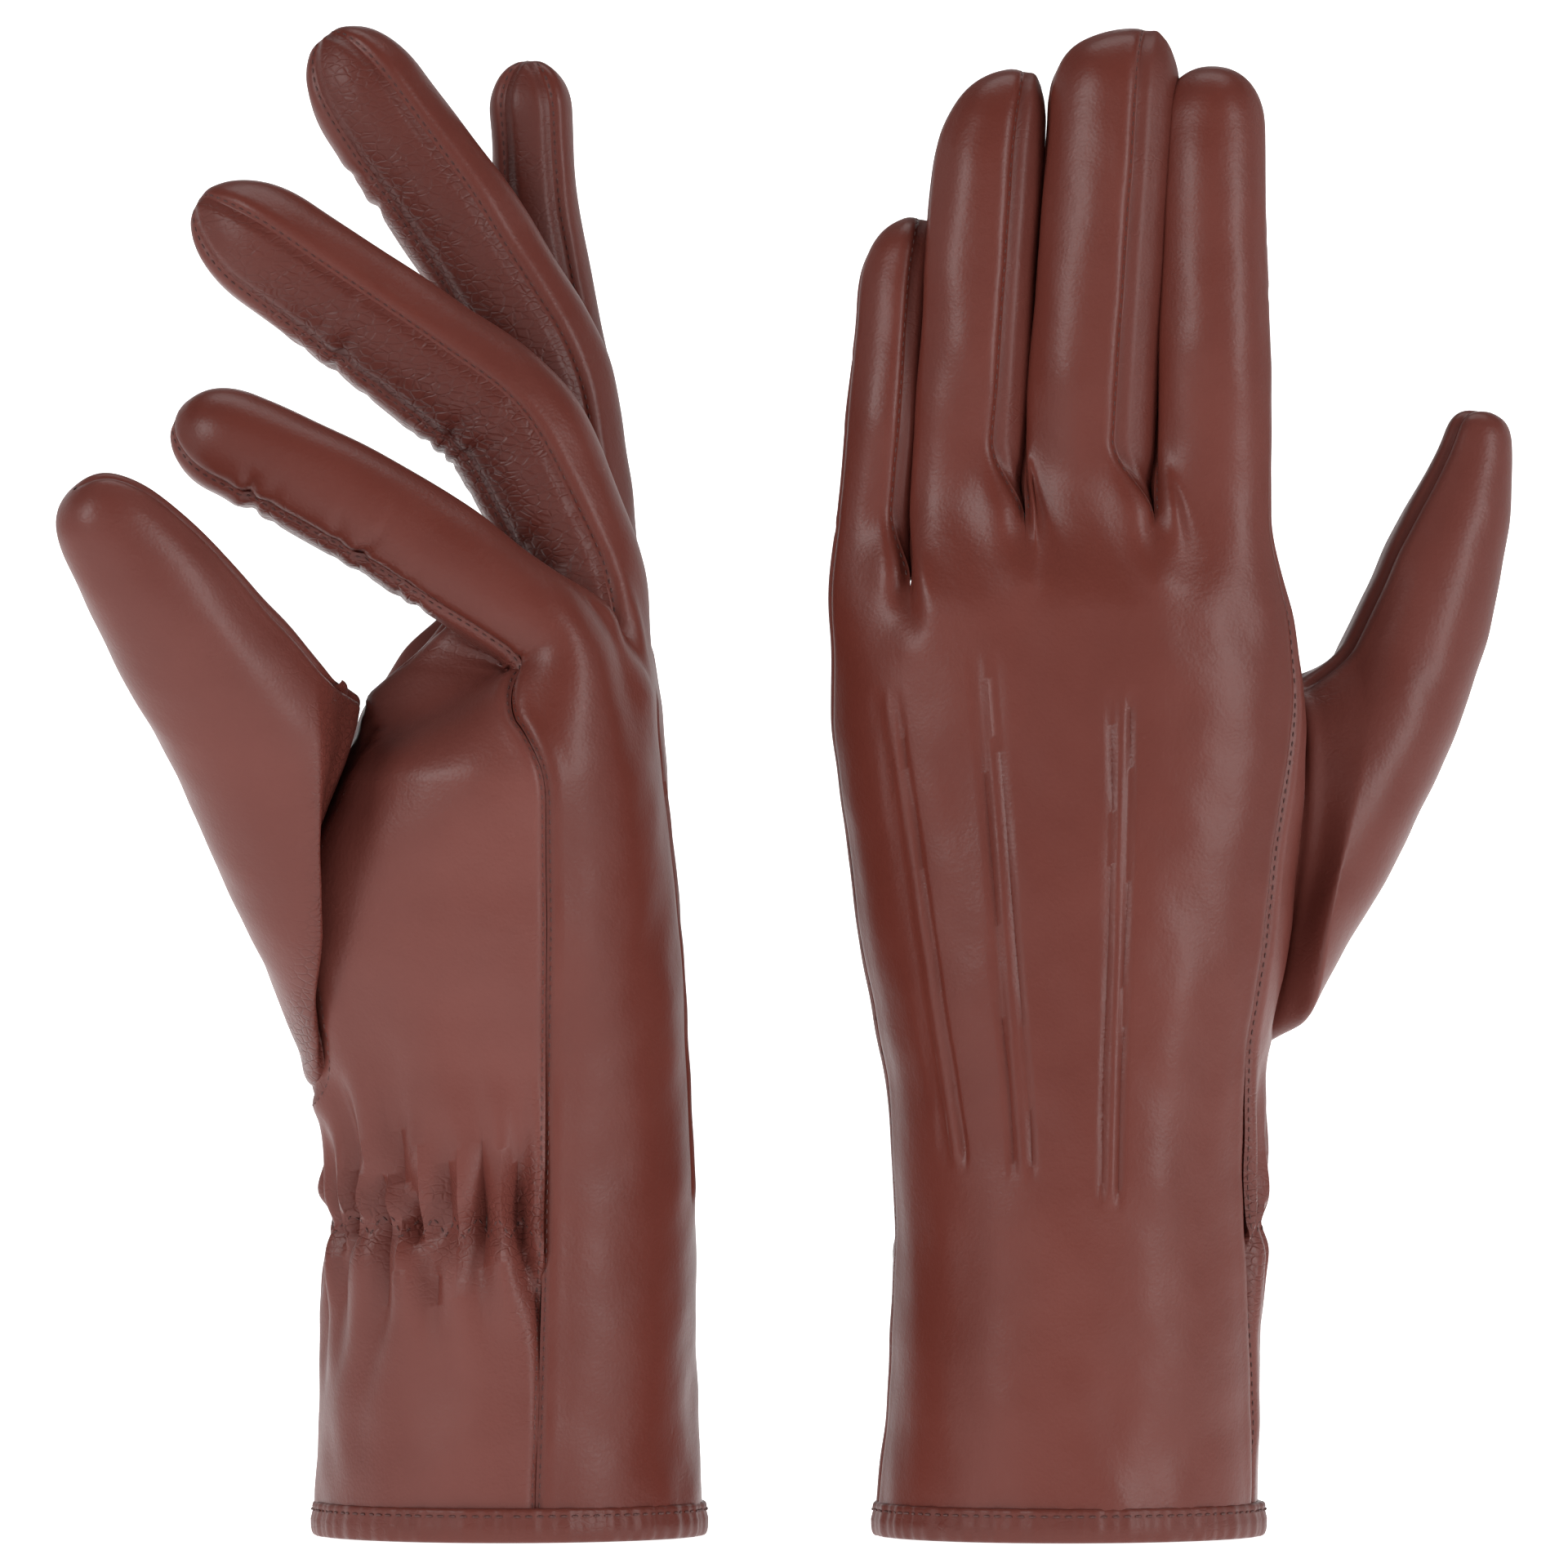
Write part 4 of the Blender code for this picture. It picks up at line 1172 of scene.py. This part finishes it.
# colours are linear: deep, a painted shade in the folds, along the seams and in the grooves; over the body of
# the leather; and where it is stretched
leatherLooks = {
    "back": {"slot": "glove_leather", "deep": (0.052, 0.0090, 0.0060), "body": (0.098, 0.0195, 0.0130),
             "light": (0.118, 0.0262, 0.0182), "rough": 0.37,
             "grain": 0.8, "crackle": 0.3, "shift": (0.0, 0.0, 0.0)},
    "palm": {"slot": "palm_leather", "deep": (0.056, 0.0110, 0.0078), "body": (0.112, 0.0275, 0.0205),
             "light": (0.138, 0.0375, 0.0290), "rough": 0.40,
             "grain": 1.0, "crackle": 0.6, "shift": (0.3, 0.1, 0.2)},
    "thumb": {"slot": "glove_leather", "deep": (0.054, 0.0105, 0.0074), "body": (0.108, 0.0255, 0.0188),
              "light": (0.132, 0.0350, 0.0268), "rough": 0.38,
              "grain": 0.8, "crackle": 0.5, "shift": (0.2, 0.5, 0.1)},
    "fork": {"slot": "fork_leather", "deep": (0.046, 0.0085, 0.0060), "body": (0.086, 0.0180, 0.0125),
             "light": (0.108, 0.0250, 0.0180), "rough": 0.44,
             "grain": 0.7, "crackle": 0.6, "shift": (0.7, 0.3, 0.4)},
    "edge": {"slot": "edge_binding", "deep": (0.048, 0.0090, 0.0062), "body": (0.090, 0.0190, 0.0130),
             "light": (0.112, 0.0262, 0.0188), "rough": 0.42,
             "grain": 0.7, "crackle": 0.5, "shift": (0.4, 0.8, 0.6)},
}


def makeLeather(name):
    look = leatherLooks[name]
    finish = Finish("leather_" + name, look["slot"])
    where = finish.place(look["shift"])
    crease = finish.node("ShaderNodeAttribute", {"attribute_name": "crease"}, {}, "Fac")
    # pores and fine grain, a soft mottle, and the crackle of creased leather
    pores = finish.cells(where, 1700.0, "SMOOTH_F1")
    grain = finish.noise(where, 2400.0, 3.0, 0.6)
    mottle = finish.noise(where, 38.0, 4.0, 0.55)
    cloud = finish.noise(finish.place(look["shift"], (1, 1, 0.4)), 13.0, 2.0)
    stretched = finish.place(look["shift"], (1, 1, 1.7))
    bent = finish.noise(stretched, 120.0, 2.0)
    wander = finish.node("ShaderNodeTexNoise", {}, {"Vector": stretched, "Scale": 210.0}, "Color")
    warped = finish.node("ShaderNodeVectorMath", {"operation": "MULTIPLY_ADD"},
                         {0: wander, 1: (0.0016, 0.0016, 0.0016), 2: stretched})
    cracks = finish.ramp(finish.cells(warped, 460.0, "DISTANCE_TO_EDGE"), 0.0, 0.16)
    patches = finish.ramp(crease + 0.55 * bent, 0.5, 1.05)
    tone = finish.ramp(0.6 * mottle + 0.7 * cloud, 0.42, 0.86)
    base = finish.colours(tone, look["body"], look["light"])
    # painted shade: the crease layer darkens the colour towards deep in creases, along seams and in grooves,
    # together with the mottle's random darker tone and the crackle patches
    creaseShadeAndMottle = finish.ramp(crease * 0.5 + 0.25 * mottle + 0.12 * patches * (1 - cracks), 0.25, 1.0)
    base = finish.blended(creaseShadeAndMottle, base, (*look["deep"], 1))
    rough = look["rough"] + 0.10 * (grain - 0.5) + 0.12 * (mottle - 0.5) - 0.05 * patches
    fine = finish.bump(0.6 * pores + 0.5 * grain, 0.00007 * look["grain"], 0.75)
    lumpy = finish.bump(finish.noise(where, 520.0, 2.0), 0.00012, 0.5, fine)
    normal = finish.bump(cracks * patches, 0.00022 * look["crackle"], 0.8, lumpy)
    finish.surface(Base_Color=base, Roughness=rough, Normal=normal, Coat_Weight=0.03, Coat_Roughness=0.30,
                   Specular_IOR_Level=0.26)
    return finish.material


def makeThread():
    finish = Finish("thread_brown", "sewing_thread")
    where = finish.place()
    twist = finish.node("ShaderNodeTexWave", {"wave_type": "BANDS", "bands_direction": "DIAGONAL"},
                        {"Vector": where, "Scale": 900.0, "Distortion": 1.5})
    tone = finish.noise(where, 300.0)
    base = finish.colours(tone, (0.050, 0.0125, 0.0095), (0.082, 0.022, 0.017))
    return finish.surface(Base_Color=base, Roughness=0.55 + 0.2 * twist, Normal=finish.bump(twist, 0.00005))


def makeKnit():
    finish = Finish("knit_lining", "knit_lining")
    where = finish.place((0, 0, 0), (1, 1, 0.8))
    loops = finish.cells(where, 950.0, "SMOOTH_F1", 0.3)
    ribs = finish.node("ShaderNodeTexWave", {"bands_direction": "Z"}, {"Vector": where, "Scale": 260.0,
                                                                      "Distortion": 2.0})
    fuzz = finish.noise(where, 1500.0, 3.0)
    shade = finish.ramp(loops + 0.3 * fuzz, 0.1, 0.9)
    base = finish.colours(shade, (0.055, 0.018, 0.015), (0.025, 0.008, 0.007))
    normal = finish.bump(loops + 0.5 * ribs + 0.3 * fuzz, 0.0003, 0.8)
    return finish.surface(Base_Color=base, Roughness=0.82 + 0.1 * fuzz, Sheen_Weight=0.35,
                          Sheen_Roughness=0.5, Normal=normal)


def makeElastic():
    finish = Finish("elastic_band", "elastic_band")
    where = finish.place()
    cords = finish.node("ShaderNodeTexWave", {"bands_direction": "Z"}, {"Vector": where, "Scale": 300.0})
    weave = finish.noise(where, 1800.0, 2.0)
    base = finish.colours(cords, (0.03, 0.012, 0.01), (0.075, 0.03, 0.025))
    return finish.surface(Base_Color=base, Roughness=0.65 + 0.15 * weave,
                          Normal=finish.bump(cords + 0.3 * weave, 0.0002))


leather = {name: makeLeather(name) for name in leatherLooks}
leather["thread"] = makeThread()
leather["knit"] = makeKnit()
leather["elastic"] = makeElastic()
print("finishes made:", ", ".join(leather))


def setUp(glove):
    side = glove["side"]
    glove["uDir"], glove["nDir"] = np.array(glove["u"], float), np.array(glove["n"], float)
    glove["mirrored"] = bool(np.cross(glove["uDir"], glove["nDir"])[2] < 0)
    low, high = [np.array(corner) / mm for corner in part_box(side + "_cuff_binding")]
    shiftU, shiftN = handSize(hem["height"] / 2)[2:4]
    glove["place"] = (low + high) / 2 * np.array([1, 1, 0]) - glove["uDir"] * shiftU - glove["nDir"] * shiftN
    glove["roots"] = {name: float(pivotOf(glove, name + "_root")[2]) for name in fingerNames}
    glove["lines"] = {name: fingerLine(glove, name) for name in fingerNames}
    glove["split"] = min(glove["roots"].values()) - splitBelow
    glove["thumbTable"] = thumbTable(glove)
    print(side, "stands at", glove["place"].round(2))


for glove in (leftGlove, rightGlove):
    setUp(glove)
    sheets = {"back": buildHandSheet(glove, True), "palm": buildHandSheet(glove, False)}
    print(glove["side"], "back and palm done")
    for name in fingerNames:
        sewFinger(glove, name, buildFinger(glove, name))
        print(glove["side"], name, "finger done")
    buildThumb(glove)
    hemRow = buildHem(glove)
    buildSleeve(glove, "lining_sleeve", 1.7, 0.6, leather["knit"], "knit_lining")
    buildSleeve(glove, "wrist_elastic", 1.25, 0.35, leather["elastic"], "wrist_elastic_band")
    sewHand(glove, sheets, hemRow)
    print(glove["side"], "thumb, hem, lining and stitches done")

# a pale floor that sweeps up behind
studio = {"reach": 9.0, "turn": 2.0, "height": 5.0, "sides": 64, "white": (0.93, 0.93, 0.93), "glow": 1.05,
          "dim": (0.3, 0.3, 0.3), "edge": (0.35, 0.95), "widens": 0.05, "front": (-0.8, -0.2)}


def buildStudio():
    # a pale floor that curves up into a wall all round
    flat = studio["reach"] - studio["turn"]
    profile = [(0.5, 0.0), (flat / 2, 0.0)]
    for k in range(13):
        turn = math.pi / 2 * k / 12
        profile.append((flat + studio["turn"] * math.sin(turn), studio["turn"] * (1 - math.cos(turn))))
    profile.append((studio["reach"], studio["height"]))
    count = studio["sides"]
    verts = [(0.0, 0.0, -0.0002)]
    for away, z in profile:
        for k in range(count):
            turn = 2 * math.pi * k / count
            verts.append((away * math.cos(turn), away * math.sin(turn), z - 0.0002))
    faces = [(0, 1 + k, 1 + (k + 1) % count) for k in range(count)]
    for ring in range(len(profile) - 1):
        for k in range(count):
            near, after = 1 + ring * count + k, 1 + ring * count + (k + 1) % count
            faces.append((near, near + count, after + count, after))
    finish = Finish("pale_floor", "floor")
    # painted light: the floor glows though it is no lamp, brightest straight behind the pair and dim at the
    # sides and in front, so that the leather's rims stay dark
    where = finish.place()
    across, along = [finish.node("ShaderNodeSeparateXYZ", {}, {"Vector": where}, axis) for axis in "XY"]
    away = finish.node("ShaderNodeMath", {"operation": "ABSOLUTE"}, {0: across})
    beside = finish.ramp(away - studio["widens"] * along, *studio["edge"])
    before = 1 - finish.ramp(along, *studio["front"])
    shine = finish.colours(beside + before, (1.0, 1.0, 1.0), studio["dim"])
    finish.surface(Base_Color=(*studio["white"], 1), Roughness=0.9, Emission_Color=shine,
                   Emission_Strength=studio["glow"])
    mesh = bpy.data.meshes.new("pale_floor")
    mesh.from_pydata(verts, [], faces)
    mesh.materials.append(finish.material)
    mesh.shade_smooth()
    floor = bpy.data.objects.new("pale_floor", mesh)
    bpy.context.scene.collection.objects.link(floor)


# soft lights: place, what it looks at, size across and up, power
lights = {
    "key": ((-1.35, -1.35, 0.95), (0.0, 0.0, 0.15), (0.6, 0.9), 16.0),
    "fill": ((1.4, -1.0, 0.6), (0.0, 0.0, 0.13), (0.45, 1.1), 13.0),
    "top": ((0.1, 0.3, 1.6), (0.0, 0.0, 0.1), (1.2, 0.6), 6.0),
}


def buildLights():
    for name, (place, target, size, power) in lights.items():
        lamp = bpy.data.lights.new(name, "AREA")
        lamp.shape, lamp.size, lamp.size_y, lamp.energy = "RECTANGLE", size[0], size[1], power
        obj = bpy.data.objects.new(name, lamp)
        bpy.context.scene.collection.objects.link(obj)
        obj.location = place
        obj.rotation_euler = (Vector(target) - Vector(place)).to_track_quat("-Z", "Y").to_euler()
    world = bpy.data.worlds.new("soft_white")
    bpy.context.scene.world = world
    world.use_nodes = True
    world.node_tree.nodes["Background"].inputs["Color"].default_value = (1.0, 1.0, 1.0, 1)
    world.node_tree.nodes["Background"].inputs["Strength"].default_value = 0.12


view = {"from": (0.0005, -3.0, 0.1300), "width": 0.2713, "plane": 0.0101, "sensor": 36.0}


def buildCamera():
    data = bpy.data.cameras.new("camera")
    data.sensor_width = view["sensor"]
    data.lens = view["sensor"] * (view["plane"] - view["from"][1]) / view["width"]
    camera = bpy.data.objects.new("camera", data)
    bpy.context.scene.collection.objects.link(camera)
    camera.location = view["from"]
    camera.rotation_euler = (math.radians(90), 0, 0)
    bpy.context.scene.camera = camera


buildStudio()
buildLights()
buildCamera()
bpy.context.scene.view_settings.view_transform = "Standard"

print("scene made")
